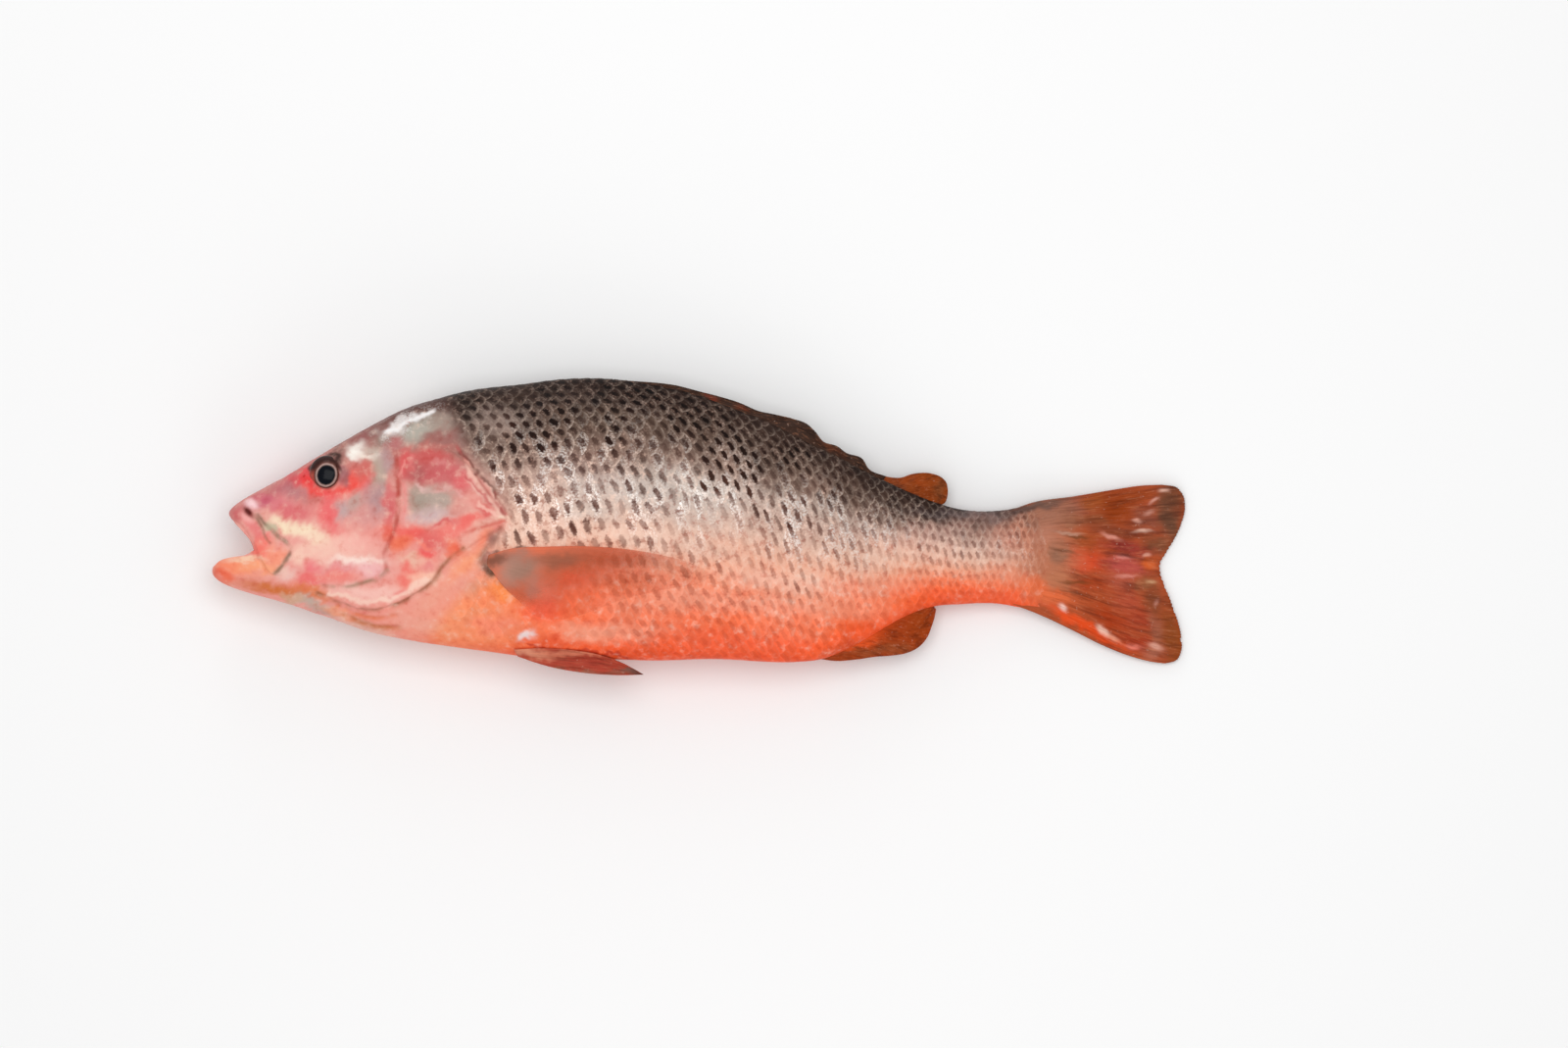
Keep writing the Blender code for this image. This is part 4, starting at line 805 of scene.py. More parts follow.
def body_piece(name, rows, first_end=None):
    """The skin between two rows, with a fan to the middle of the ring, or to a given point, at each end."""
    part = skin[rows]
    count, columns = part.shape[0], part.shape[1] - 1
    faces, corner_rows, corner_columns = closed_tube(count, columns)
    ends = part[[0, -1], :-1].mean(axis=1)
    if first_end is not None:
        ends[0] = first_end
    points = np.concatenate([part[:, :-1].reshape(-1, 3), ends])
    normals = np.concatenate([shading[rows][:, :-1].reshape(-1, 3), [[-1.0, 0, 0], [1.0, 0, 0]]])
    tiles = np.stack([tile_u[rows], tile_v[rows]], axis=-1)[corner_rows, corner_columns].reshape(-1, 2)
    sheet = np.stack([corner_columns / columns, corner_rows / (count - 1) * 0.9], axis=-1).reshape(-1, 2)
    c, radius = np.arange(columns), np.array([0.0, DISC_RADIUS, DISC_RADIUS])
    turn = 2 * np.pi * np.stack([c, c, c + 1], axis=-1) / columns
    discs = [np.stack([side + radius * np.cos(turn), 0.95 + radius * np.sin(turn)], axis=-1).reshape(-1, 2)
             for side in (0.1, 0.3)]
    maps = {"scales": np.concatenate([tiles, np.zeros((6 * columns, 2))]), "OFBake": np.concatenate([sheet, *discs])}
    colours = {"tone": with_ends(tone[rows]), "marks": with_ends(marks[rows])}
    return make_piece(name, in_frame(points), faces, maps, colours, normals)


# %% The skin in four pieces
TRUNK_CUTS = np.linspace(OUTER + FACE_ROWS + CHEEK_ROWS, len(skin) - 1, 4).astype(int)
body_pieces = [body_piece("head_skin", slice(0, TRUNK_CUTS[0] + 1), laid(np.array(THROAT)))]
for name, start, end in zip(("front_trunk_skin", "rear_trunk_skin", "stalk_skin"), TRUNK_CUTS[:-1], TRUNK_CUTS[1:]):
    body_pieces.append(body_piece(name, slice(start, end + 1)))

# %% [markdown]
# ## Fins
# A fin is a web of skin between bony rays, less than two millimetres thick. The rays start side by side at the
# fin's root and spread and split towards its edge. That is a patch with two parameters: how far out (r) and how
# far across (t). Its middle surface gets a thickness on both sides, thicker on a ray, and the two sides close
# into one skin. Rays that split are a wave across the fin whose frequency doubles further out.

# %% Sheets with two sides
FLOOR_GAP, LEAST_THICKNESS = 0.2, 0.15
EDGE_WIDTH, EDGE_SHARE = 0.03, 0.15


def patch_between(base, margin, first_edge, last_edge, r, t):
    """Stretches a patch between four lines: both ruled surfaces added, less the flat one through the corners."""
    rows, columns = r[:, 0], t[0]
    base, margin = along(base, columns)[None], along(margin, columns)[None]
    first_edge, last_edge = along(first_edge, rows)[:, None], along(last_edge, rows)[:, None]
    r, t = r[..., None], t[..., None]
    corners = ((1 - r) * ((1 - t) * base[:, :1] + t * base[:, -1:])
               + r * ((1 - t) * margin[:, :1] + t * margin[:, -1:]))
    return (1 - r) * base + r * margin + (1 - t) * first_edge + t * last_edge - corners


def ray_wave(across, r, splits=(0.3, 0.62)):
    """A ridge on each ray, 0.5 + 0.5 cos(2 pi a), with twice as many further out than each split."""
    ridge = 0.5 + 0.5 * np.cos(2 * np.pi * across)
    for n, place in enumerate(splits):
        finer = 0.5 + 0.5 * np.cos(2 * np.pi * across * 2 ** (n + 1) + np.pi)
        ridge = ridge + (finer - ridge) * ramp((r - place) / 0.16)
    return ridge


def both_sides(upper, lower=None):
    """The columns of the upper side, then those of the lower side back."""
    return np.concatenate([upper, (upper if lower is None else lower)[:, ::-1]], axis=1)


def fin_piece(name, flat, height, half, across, r, tone):
    """A closed sheet: the upper side by columns, then the lower side back, with a strip at its root and its edge."""
    rows, columns = half.shape
    upper, lower = (np.concatenate([flat, (height + side * half)[..., None]], axis=-1) for side in (1, -1))
    lower[..., 2] = np.maximum(lower[..., 2], FLOOR_GAP)
    upper[..., 2] = np.maximum(upper[..., 2], lower[..., 2] + LEAST_THICKNESS)
    count = 2 * columns
    corner_rows, corner_columns = tube_corners(rows, count)
    wrapped = corner_columns % count
    rays = both_sides(np.stack([across, r], axis=-1))
    faces, ray_map = [corner_rows * count + wrapped], [rays[corner_rows, wrapped].reshape(-1, 2)]
    bake_map = [np.stack([corner_columns / count, 0.02 + 0.9 * corner_rows / (rows - 1)], axis=-1).reshape(-1, 2)]
    c = np.arange(columns - 1)
    for row, flip, band in ((0, 1, 0.95), (rows - 1, -1, 0.97)):
        pair = np.stack([c, count - 1 - c, count - 2 - c, c + 1], axis=-1)[:, ::flip]
        faces.append(row * count + pair)
        ray_map.append(rays.reshape(-1, 2)[faces[-1]].reshape(-1, 2))
        bake_map.append(np.stack([pair / count * 0.98, band + (pair >= columns) * 0.012], axis=-1).reshape(-1, 2))
    maps = {"rays": np.concatenate(ray_map), "OFBake": np.concatenate(bake_map)}
    points = in_frame(both_sides(upper, lower).reshape(-1, 3))
    return make_piece(name, points, faces, maps, {"tone": both_sides(tone).reshape(-1, 3)})


def fin_tone(colour, patches, flat):
    """A fin's tone: one colour all over, with soft patches laid on it."""
    return paint(np.broadcast_to(linear(colour), (*flat.shape[:2], 3)), patches, [], flat[..., 0], flat[..., 1])


def grid(rows, columns):
    """Two grids: r from 0 to 1 down the rows, and t from 0 to 1 along the columns."""
    return np.meshgrid(np.linspace(0, 1, rows), np.linspace(0, 1, columns), indexing="ij")


def rounded(t, r, width):
    """A share that thins a sheet to its two side edges and to its free edge, sqrt(1 - q^2) in from each."""
    near = np.clip(np.minimum(np.minimum(t, 1 - t) / width, (1 - r) / EDGE_WIDTH), 0, 1)
    return np.sqrt(1 - (1 - near) ** 2) * (1 - EDGE_SHARE) + EDGE_SHARE


# %% [markdown]
# The tail fin is the largest. Its two leading edges are thick, its rear margin is notched a little between the
# rays, and it lies almost flat on the table with a slight wave. The photo shows it orange-brown above,
# red-orange in the middle, brown-grey along the rear margin, and bright orange on the lower edge, with pale
# flecks of painted glint. The patches of its root lie on the trunk's end as well, so the colour runs on without a step.

# %% The tail fin
TAIL_BASE = [(404.0, 17.0), (416.0, 6.0), (419.0, -5.0), (416.0, -16.0), (404.0, -26.5)]
TAIL_TOP = [(404.0, 17.0), (422.0, 23.6), (443.0, 26.7), (464.0, 30.2), (478.0, 32.2), (488.5, 32.6)]
TAIL_BOTTOM = [(404.0, -26.5), (425.5, -34.5), (442.0, -42.3), (457.0, -49.8), (469.3, -54.8), (482.4, -58.4),
               (490.0, -59.4)]
TAIL_MARGIN = [(488.5, 32.6), (496.3, 31.0), (499.6, 26.2), (500.2, 20.6), (498.5, 13.0), (494.8, 4.8),
               (490.4, -2.5), (487.4, -8.0), (487.4, -12.0), (489.4, -18.5), (493.0, -27.5), (496.2, -36.5),
               (498.3, -46.0), (498.4, -52.5), (496.0, -57.6), (490.0, -59.4)]
TAIL_RAYS, NOTCH, FRAYING = 17, 0.45, 0.6
WEB, ROOT_FLESH, RAY, LEADING_EDGE, STALK_END = 0.42, 1.1, 0.34, 0.5, 432
TAIL_PATCHES = [
    ((442.6, 21.1, 11.1, 6.0), 0, (158, 92, 72), 0.85), ((441.1, 13.1, 10.1, 4.0), 0, (150, 96, 68), 0.8),
    ((442.1, -16.1, 7.0, 6.0), -8, (174, 96, 60), 0.85), ((462.8, 21.1, 14.1, 9.1), 6, (144, 56, 8), 0.97),
    ((452.7, 23.1, 6.0, 4.0), 6, (162, 80, 34), 0.8), ((454.2, 13.1, 7.0, 3.0), 0, (154, 82, 46), 0.8),
    ((476.8, 27.2, 11.1, 4.0), 4, (154, 64, 20), 0.9), ((480.4, 15.1, 8.0, 6.0), 0, (138, 72, 52), 0.9),
    ((494.4, 26.2, 7.0, 7.0), 0, (112, 64, 40), 0.95), ((491.9, 14.1, 6.0, 12.1), 8, (104, 66, 46), 0.97),
    ((484.4, 2.0, 7.0, 5.0), 0, (120, 70, 44), 0.9), ((463.3, 9.1, 15.1, 4.0), -4, (136, 64, 38), 0.85),
    ((449.2, 3.5, 11.1, 3.5), -4, (160, 72, 28), 0.8), ((469.3, 0.0, 13.1, 3.5), -8, (164, 58, 50), 0.85),
    ((446.7, -6.5, 12.1, 6.5), -4, (212, 70, 32), 0.95), ((469.3, -8.6, 12.1, 4.5), -6, (184, 78, 70), 0.9),
    ((482.4, -7.0, 4.0, 4.0), 0, (212, 94, 36), 0.85), ((449.2, -18.6, 12.1, 3.5), -6, (170, 62, 24), 0.85),
    ((466.8, -17.1, 9.1, 4.0), -10, (176, 82, 60), 0.85), ((480.4, -18.6, 7.0, 4.0), 0, (146, 88, 54), 0.85),
    ((446.7, -26.2, 12.1, 3.5), -18, (176, 78, 40), 0.85),
    ((469.3, -26.2, 9.1, 5.5), -20, (176, 74, 48), 0.85), ((461.8, -35.2, 11.1, 4.5), -24, (168, 56, 14), 0.9),
    ((476.8, -37.2, 9.1, 6.0), -20, (172, 62, 34), 0.85), ((444.1, -37.2, 22.1, 2.8), -27, (232, 78, 28), 0.95),
    ((456.7, -44.8, 16.1, 2.5), -25, (222, 74, 24), 0.9), ((475.8, -48.8, 13.1, 3.5), -22, (164, 52, 20), 0.9),
    ((485.9, -42.8, 4.0, 10.1), 10, (156, 90, 66), 0.8), ((484.4, -53.3, 6.0, 3.5), 0, (184, 112, 88), 0.7),
    ((493.4, -44.3, 5.0, 15.1), 10, (138, 66, 20), 0.97), ((484.4, -28.2, 5.0, 7.0), 14, (132, 66, 36), 0.9),
]
# The pale flecks are painted glints; the thin dark ones are streaks along the rays.
TAIL_GLINTS_AND_STREAKS = [
    ((437.6, -30.7, 2.8, 1.7), -40, (250, 208, 196), 0.9), ((458.2, -42.3, 4.0, 1.8), -40, (248, 200, 180), 0.9),
    ((463.3, -46.3, 3.5, 1.5), -35, (240, 160, 130), 0.8), ((474.8, 14.1, 2.5, 1.0), -8, (242, 176, 156), 0.85),
    ((477.9, 8.6, 4.5, 1.0), 0, (236, 190, 170), 0.85), ((462.3, 5.5, 5.0, 1.3), -20, (226, 150, 132), 0.85),
    ((489.4, 29.7, 2.5, 1.0), 0, (240, 190, 170), 0.8), ((484.4, 24.1, 3.0, 0.8), 36, (226, 170, 156), 0.7),
    ((481.4, 18.6, 3.5, 0.9), 26, (200, 140, 122), 0.7), ((468.3, -5.0, 4.5, 1.0), 0, (226, 140, 130), 0.7),
    ((469.3, -14.1, 6.0, 1.0), 0, (220, 140, 126), 0.7), ((480.4, -3.0, 2.0, 1.0), 0, (232, 170, 150), 0.7),
    ((473.3, -50.3, 4.5, 1.3), -8, (240, 130, 110), 0.8), ((485.4, -28.2, 2.0, 1.0), 60, (206, 140, 124), 0.6),
    ((484.9, -50.8, 4.0, 1.5), -20, (230, 170, 150), 0.7), ((482.4, -17.1, 3.0, 1.0), 0, (210, 160, 120), 0.7),
    ((440.1, 7.5, 7.0, 1.0), -8, (190, 150, 130), 0.7), ((444.1, 5.5, 6.0, 0.8), -8, (96, 58, 30), 0.7),
    ((436.6, -1.0, 8.0, 0.9), -14, (110, 66, 44), 0.7), ((444.1, -17.6, 8.0, 0.9), -6, (112, 62, 26), 0.7),
    ((443.1, -23.1, 8.0, 0.8), -14, (120, 64, 40), 0.7), ((469.3, -4.0, 11.1, 0.8), -6, (110, 44, 34), 0.7),
]
r, t = grid(110, 221)
flat = patch_between(TAIL_BASE, TAIL_MARGIN, TAIL_TOP, TAIL_BOTTOM, r, t)
across = TAIL_RAYS * (t + 0.05 * np.sin(2 * np.pi * t))
ridge = ray_wave(across, r)
flat[..., 0] -= ((1 - ridge) * ramp((r - 0.86) / 0.14) * NOTCH
                 + FRAYING * ramp((r - 0.9) / 0.1) * soft_noise(t * 160, r * 3, 5, 2.0) ** 2)
wave = 0.5 * r * np.sin(7 * t + 2 * r)
half = (WEB + ROOT_FLESH * (1 - r) ** 1.3 + RAY * (ridge - 0.3) * (1 - 0.55 * r)
        + LEADING_EDGE * (bell(t, 0.04) + bell(1 - t, 0.04)) * (1 - 0.5 * r))
half += ROOT_FLESH * bell(flat[..., 0] - STALK_END, 9) * ramp(np.minimum(t, 1 - t) / 0.2)
tone = fin_tone(TAIL_COLOUR, TAIL_PATCHES + ROOT_PATCHES, flat)
# Lays the painted glints and the dark streaks over the tail.
tone = paint(tone, TAIL_GLINTS_AND_STREAKS, [], flat[..., 0], flat[..., 1], wander=0.4)
fins = [fin_piece("tail_fin", flat, spine(flat[..., 0]) + wave, half * rounded(t, r, 0.012), across, r, tone)]

# %% [markdown]
# The fins of the middle plane share one recipe. The spiny dorsal fin lies folded back on the ridge, with only
# a dark fringe showing. The soft lobe behind it and the anal fin stand a little open. Their rays lean
# towards the tail, so the ray count runs slanted over the patch.

# %% The dorsal and anal fins
SPINY_BASE = [(205.0, 82.0), (245.0, 76.0), (280.0, 63.0), (312.0, 47.5), (342.0, 31.5)]
SPINY_EDGE = [(206.0, 86.0), (222.0, 85.4), (237.9, 83.6), (250.5, 80.4), (260.6, 77.8), (270.6, 74.7),
              (280.7, 70.4), (288.2, 68.8), (298.3, 66.4), (305.0, 64.0), (309.5, 60.0), (314.0, 54.6),
              (320.9, 52.4), (325.5, 49.0), (333.5, 46.2), (337.5, 40.4), (346.0, 36.9)]
LOBE_BASE = [(334.0, 36.5), (343.0, 31.0), (353.0, 26.0), (362.0, 22.5), (369.0, 19.5)]
LOBE_EDGE = [(341.0, 38.2), (348.6, 36.4), (354.0, 36.3), (358.5, 37.9), (363.7, 38.7), (369.7, 38.3),
             (374.4, 36.5), (377.0, 33.8), (377.8, 30.2), (377.6, 26.5), (376.4, 23.4), (372.5, 21.4)]
ANAL_BASE = [(309.0, -54.5), (323.4, -49.5), (338.0, -41.5), (355.1, -32.0), (368.5, -27.0)]
ANAL_EDGE = [(309.6, -56.6), (320.9, -58.0), (331.0, -57.2), (341.0, -55.8), (349.6, -55.2), (356.1, -54.1),
             (361.2, -52.0), (364.9, -49.0), (367.7, -45.0), (369.4, -40.6), (370.9, -36.0), (371.8, -31.5)]
SPINY_PATCHES = [
    ((256.0, 78.5, 4.0, 1.5), -14, (140, 58, 38), 0.6), ((271.6, 72.9, 3.5, 1.5), -20, (128, 56, 30), 0.5),
    ((300.8, 68.4, 8.0, 2.0), -10, (126, 72, 34), 0.5), ((318.4, 51.3, 8.0, 2.0), -30, (118, 56, 26), 0.4)]
LOBE_PATCHES = [((360.7, 35.2, 9.1, 3.0), -6, (154, 66, 22), 0.8), ((367.7, 28.7, 6.0, 3.0), 0, (122, 50, 12), 0.8),
                ((348.6, 31.2, 7.0, 4.0), 0, (98, 54, 38), 0.85), ((359.6, 25.7, 11.1, 1.8), -24, (80, 46, 34), 0.8),
                ((374.7, 30.2, 3.0, 6.0), 0, (128, 70, 36), 0.8)]
ANAL_PATCHES = [((320.4, -49.3, 20.1, 4.0), 8, (244, 94, 44), 0.9), ((335.5, -44.8, 12.1, 3.5), 24, (226, 84, 34), 0.9),
                ((349.6, -38.2, 12.1, 3.5), 30, (174, 62, 16), 0.8), ((346.1, -52.3, 20.1, 2.5), 6, (152, 74, 38), 0.8),
                ((363.7, -38.2, 6.0, 10.1), 10, (156, 62, 16), 0.8)]
for name, base, edge, columns, thickness, droop, rays, lean, colour, patches in (
        ("spiny_dorsal_fin", SPINY_BASE, SPINY_EDGE, 241, 2.6, 0.0, 10, 1.6, (60, 40, 31), SPINY_PATCHES),
        ("soft_dorsal_fin", LOBE_BASE, LOBE_EDGE, 121, 1.7, 3.0, 9, 2.6, (142, 62, 16), LOBE_PATCHES),
        ("anal_fin", ANAL_BASE, ANAL_EDGE, 121, 1.9, 3.0, 9, 3.0, (158, 60, 18), ANAL_PATCHES)):
    r, t = grid(60, columns)
    flat = (1 - r)[..., None] * along(base, t[0])[None] + r[..., None] * along(edge, t[0])[None]
    across = rays * t - lean * r * (1 - 0.3 * t)
    ridge = ray_wave(across, r, () if name.startswith("spiny") else (0.5,))
    height = spine(flat[..., 0]) - droop * r**1.5 + 0.25 * r * np.sin(9 * t)
    half = thickness * (1 - 0.72 * r) + (0.3 * ridge - 0.15) * r
    fins.append(fin_piece(name, flat, height, half * rounded(t, r, 0.04), across, r, fin_tone(colour, patches, flat)))

# %% [markdown]
# The pelvic fins fold back along the belly, and half of each stands free below it. The pectoral fins lie flat on
# the flanks, behind the gill covers: long and pointed, with rays that fan from a short root to the
# lower margin. Both sides are made, and the side underneath is pressed between the fish and the table.

# %% The paired fins


def flank_offset(x, y):
    """Distance from the middle plane to the flank at (x, y): w (1 - |y / reach|^n)^(1/n), 0 outside the outline."""
    x = np.clip(x, FIRST_SECTION, LAST_SECTION)
    widest = curve(WIDEST_LINE, x)
    above = y >= widest
    reach = np.where(above, curve(BACK_LINE, x) - widest, widest - curve(BELLY_LINE, x))
    n = np.where(above, curve(SQUARENESS_ABOVE, x), curve(SQUARENESS_BELOW, x))
    return curve(HALF_WIDTH, x) * np.clip(1 - (np.abs(y - widest) / reach) ** n, 0, 1) ** (1 / n)


PELVIC_TOP = [(155.0, -52.0), (170.0, -51.2), (185.0, -52.2), (200.0, -55.0), (209.0, -58.2), (215.8, -61.6),
              (221.0, -64.6)]
PELVIC_BOTTOM = [(157.0, -55.6), (166.5, -58.9), (175.5, -61.4), (184.6, -63.1), (193.7, -64.3),
                 (209.0, -65.2), (221.4, -64.9)]
PELVIC_STANDOFF, PECTORAL_GAP, PECTORAL_FLOOR_GAP = 4.0, 0.35, 0.6
PELVIC_COLOUR, PECTORAL_COLOUR = (180, 74, 54), (220, 112, 80)
PELVIC_PATCHES = [
    ((162.5, -53.3, 15.1, 2.5), -10, (226, 150, 120), 0.85), ((185.1, -54.3, 20.1, 1.5), -3, (222, 128, 98), 0.8),
    ((192.6, -59.4, 20.1, 3.0), -4, (176, 66, 50), 0.8), ((215.3, -64.4, 8.0, 2.0), 0, (124, 96, 86), 0.8),
    ((187.6, -63.9, 25.1, 1.5), -4, (150, 96, 78), 0.8)]
PECTORAL_BASE = [(142.4, -3.5), (141.6, -8.0), (144.9, -12.6)]
PECTORAL_TOP = [(142.4, -3.5), (153.0, -0.4), (172.5, 0.8), (192.6, 1.0), (212.8, -0.5), (232.9, -4.0),
                (248.0, -8.5), (257.5, -14.0)]
PECTORAL_BOTTOM = [(144.9, -12.6), (148.5, -17.8), (152.4, -22.1), (157.0, -26.4)]
PECTORAL_MARGIN = [(257.5, -14.0), (250.0, -18.0), (236.0, -20.5), (221.0, -23.5), (206.0, -28.0),
                   (193.0, -33.0), (178.0, -36.5), (166.0, -34.5), (157.0, -26.4)]
PECTORAL_PATCHES = [
    ((155.4, -6.0, 13.1, 4.5), 0, (164, 116, 100), 0.85), ((157.4, -12.1, 11.1, 7.0), 20, (178, 134, 118), 0.9),
    ((144.9, -5.5, 7.0, 3.0), 0, (120, 74, 58), 0.8),
    ((166.0, -20.1, 4.5, 7.0), -20, (204, 134, 114), 0.85), ((173.5, -22.1, 5.5, 6.0), 0, (236, 134, 108), 0.9),
    ((188.6, -17.1, 12.1, 7.0), 0, (238, 96, 60), 0.9), ((178.6, -6.0, 15.1, 4.5), 2, (168, 100, 76), 0.9),
    ((160.0, -11.1, 7.0, 5.0), 0, (166, 124, 106), 0.85), ((192.6, -10.1, 10.1, 4.0), 0, (218, 102, 66), 0.8),
    ((215.3, -6.0, 23.1, 4.0), -4, (196, 84, 48), 0.9), ((205.2, -15.1, 17.1, 5.0), -4, (214, 92, 58), 0.85),
    ((237.9, -10.1, 15.1, 4.0), -14, (208, 116, 84), 0.8), ((220.3, -19.1, 20.1, 3.5), 4, (206, 100, 66), 0.8)]
for side, hand in ((1, "left"), (-1, "right")):
    r, t = grid(160, 61)
    top, bottom = (along(line, r[:, 0])[:, None] for line in (PELVIC_TOP, PELVIC_BOTTOM))
    flat = (1 - t)[..., None] * top + t[..., None] * bottom
    across = 5 * t + 0.6 * r
    height = spine(flat[..., 0]) + side * np.hypot(flank_offset(flat[..., 0], flat[..., 1]), PELVIC_STANDOFF)
    half = (0.85 - 0.45 * r + 0.24 * (ray_wave(across, r, (0.45,)) - 0.3)) * rounded(t, r, 0.1)
    fins.append(fin_piece(f"pelvic_fin_{hand}", flat, height, half, across, r,
                          fin_tone(PELVIC_COLOUR, PELVIC_PATCHES, flat)))

    r, t = grid(150, 141)
    flat = patch_between(PECTORAL_BASE, PECTORAL_MARGIN, PECTORAL_TOP, PECTORAL_BOTTOM, r, t)
    across = 14 * t
    off = flank_offset(flat[..., 0], flat[..., 1]) + PECTORAL_GAP + 0.5 * ramp(r / 0.3) + 0.12 * np.sin(11 * t + 3 * r)
    height = np.maximum(spine(flat[..., 0]) + side * off, PECTORAL_FLOOR_GAP)
    half = (0.6 - 0.3 * r + 0.04 * (ray_wave(across, r, (0.35, 0.7)) - 0.3)) * rounded(t, r, 0.03)
    fins.append(fin_piece(f"pectoral_fin_{hand}", flat, height, half, across, r,
                          fin_tone(PECTORAL_COLOUR, PECTORAL_PATCHES, flat)))

# %% [markdown]
# ## Eyes
# A fish eye is a flattened ball without lids: a wide blue-black pupil, a thin bright ring round it, a silvery
# iris that darkens to its rim, all behind a wet clear cornea. The dark rim stays on the ball's upper side as
# painted shade of the socket, and turns pink below. The piece is a ball of rings round its own axis, and
# that axis leans towards the back, like the flank it sits in.

# %% Both eyes
EYE_LEAN = np.radians(14)
IRIS_AND_RIM_SHADE = [(0.0, 6, 9, 18), (4.1, 8, 11, 20), (4.35, 40, 34, 36), (4.65, 128, 104, 98), (5.05, 190, 160, 152),
        (5.4, 160, 124, 116), (5.7, 112, 74, 66), (6.2, 80, 46, 40), (7.0, 60, 34, 30), (12.0, 50, 30, 28)]
PUPIL_NARROWING, PUPIL_TILT = 0.89, np.radians(-22)
PINK_RIM, DISC_SIZE = (190, 84, 70), 0.235
eyes = []
for side, hand in ((1, "left"), (-1, "right")):
    middle = np.array(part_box("eye_" + hand)).mean(axis=0) / MM
    polar = np.linspace(0.02, np.pi - 0.02, 90)[:, None]
    turn = np.linspace(0, 2 * np.pi, 129)[None] * -side
    off = np.stack(np.broadcast_arrays(BALL_RADIUS * np.sin(polar) * np.cos(turn),
                                       BALL_RADIUS * np.sin(polar) * np.sin(turn),
                                       side * BALL_HALF_DEPTH * np.cos(polar)), axis=-1)
    lean = -side * EYE_LEAN
    off = off @ np.array([[1, 0, 0], [0, np.cos(lean), -np.sin(lean)], [0, np.sin(lean), np.cos(lean)]]).T
    near, up = off[..., 0] - PUPIL_PLACE[0], off[..., 1] - PUPIL_PLACE[1]
    from_axis = np.hypot(near * np.cos(PUPIL_TILT) + up * np.sin(PUPIL_TILT),
                         (up * np.cos(PUPIL_TILT) - near * np.sin(PUPIL_TILT)) * PUPIL_NARROWING)
    from_axis = from_axis + 0.12 * soft_noise(near, up, 2.0, 4.0, 2)
    from_axis = np.where(off[..., 2] * side > -1.0, from_axis, BALL_RADIUS)
    # Painted shade: the ball's dark outer rim stays on its upper side, where the socket shades it; below, it turns
    # pink.
    tone = lay(shaded(IRIS_AND_RIM_SHADE, from_axis), PINK_RIM, 0.8 * ramp((from_axis - 6.0) / 0.5) * ramp((2.5 - off[..., 1]) / 4))
    faces, corner_rows, corner_columns = closed_tube(off.shape[0], off.shape[1] - 1)
    points = np.concatenate([off[:, :-1].reshape(-1, 3), off[[0, -1], :-1].mean(axis=1)]) + middle
    disc = np.stack([0.25 + DISC_SIZE * np.sin(np.minimum(polar, np.pi / 2)) * np.cos(turn),
                     0.5 + DISC_SIZE * np.sin(polar) * np.sin(turn)], axis=-1)
    disc[..., 0] += (polar > np.pi / 2) * 0.5
    c = np.arange(off.shape[1] - 1)
    flat_map = [disc[corner_rows, corner_columns].reshape(-1, 2)]
    flat_map += [disc[row][np.stack([c, c + 1, c], axis=-1)].reshape(-1, 2) for row in (0, -1)]
    eye = make_piece(f"eyeball_{hand}", points, faces, {"rays": np.concatenate(flat_map)}, {"tone": with_ends(tone)})
    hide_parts("eye_" + hand)
    eyes.append(eye)

for piece in body_pieces + fins:
    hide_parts("fish")
print("pieces:", len(body_pieces + fins + eyes))

# %% [markdown]
# ## Arithmetic on shader wires
# A material is a sum of masks, and masks are sums and products of wires. Node trees for that are long to write,
# so one small class wraps a node's output and gives it Python's operators: each one adds a Math node. The
# lattice of scales above then works on wires as it does on arrays.

# %% Wires


class Wire:
    """One output of a shader node, with arithmetic: each operation adds a Math node and gives its output."""

    def __init__(self, socket):
        self.socket = socket

    def node(self, kind, settings, inputs, output=0):
        """A new node in the same tree, see add_node."""
        return add_node(self.socket.id_data, kind, settings, inputs, output)

    def maths(self, operation, *values):
        return self.node("ShaderNodeMath", {"operation": operation}, dict(enumerate(values)))

    def __add__(self, other):
        return self.maths("ADD", self, other)

    def __sub__(self, other):
        return self.maths("SUBTRACT", self, other)

    def __rsub__(self, other):
        return self.maths("SUBTRACT", other, self)

    def __mul__(self, other):
        return self.maths("MULTIPLY", self, other)

    def __truediv__(self, other):
        return self.maths("DIVIDE", self, other)

    def __neg__(self):
        return self.maths("MULTIPLY", self, -1.0)

    __radd__, __rmul__ = __add__, __mul__

    def step(self, start, end):
        """Smooth step from 0 at start to 1 at end."""
        return self.node("ShaderNodeMapRange", {"interpolation_type": "SMOOTHSTEP"},
                         {0: self, 1: start, 2: end, 3: 0.0, 4: 1.0})


def add_node(tree, kind, settings, inputs, output=0):
    """A node with its settings made first, then a value or a wire put into each input, by number or name."""
    node = tree.nodes.new(kind)
    for key, value in settings.items():
        setattr(node, key, value)
    for key, value in inputs.items():
        if isinstance(value, Wire):
            tree.links.new(value.socket, node.inputs[key])
        elif isinstance(value, (tuple, list, np.ndarray)):
            node.inputs[key].default_value = [*map(float, value), 1.0][:len(node.inputs[key].default_value)]
        else:
            node.inputs[key].default_value = value
    return Wire(node.outputs[output])


def blend(factor, first, second, kind="MIX"):
    """Colour between first at factor 0 and second at 1; wires or three numbers of linear light."""
    return factor.node("ShaderNodeMix", {"data_type": "RGBA", "blend_type": kind, "clamp_factor": True},
                       {0: factor, 6: first, 7: second}, 2)


def wired(operation):
    """The Math node's operation as a function of wires."""
    return lambda first, *others: first.maths(operation, first, *others)


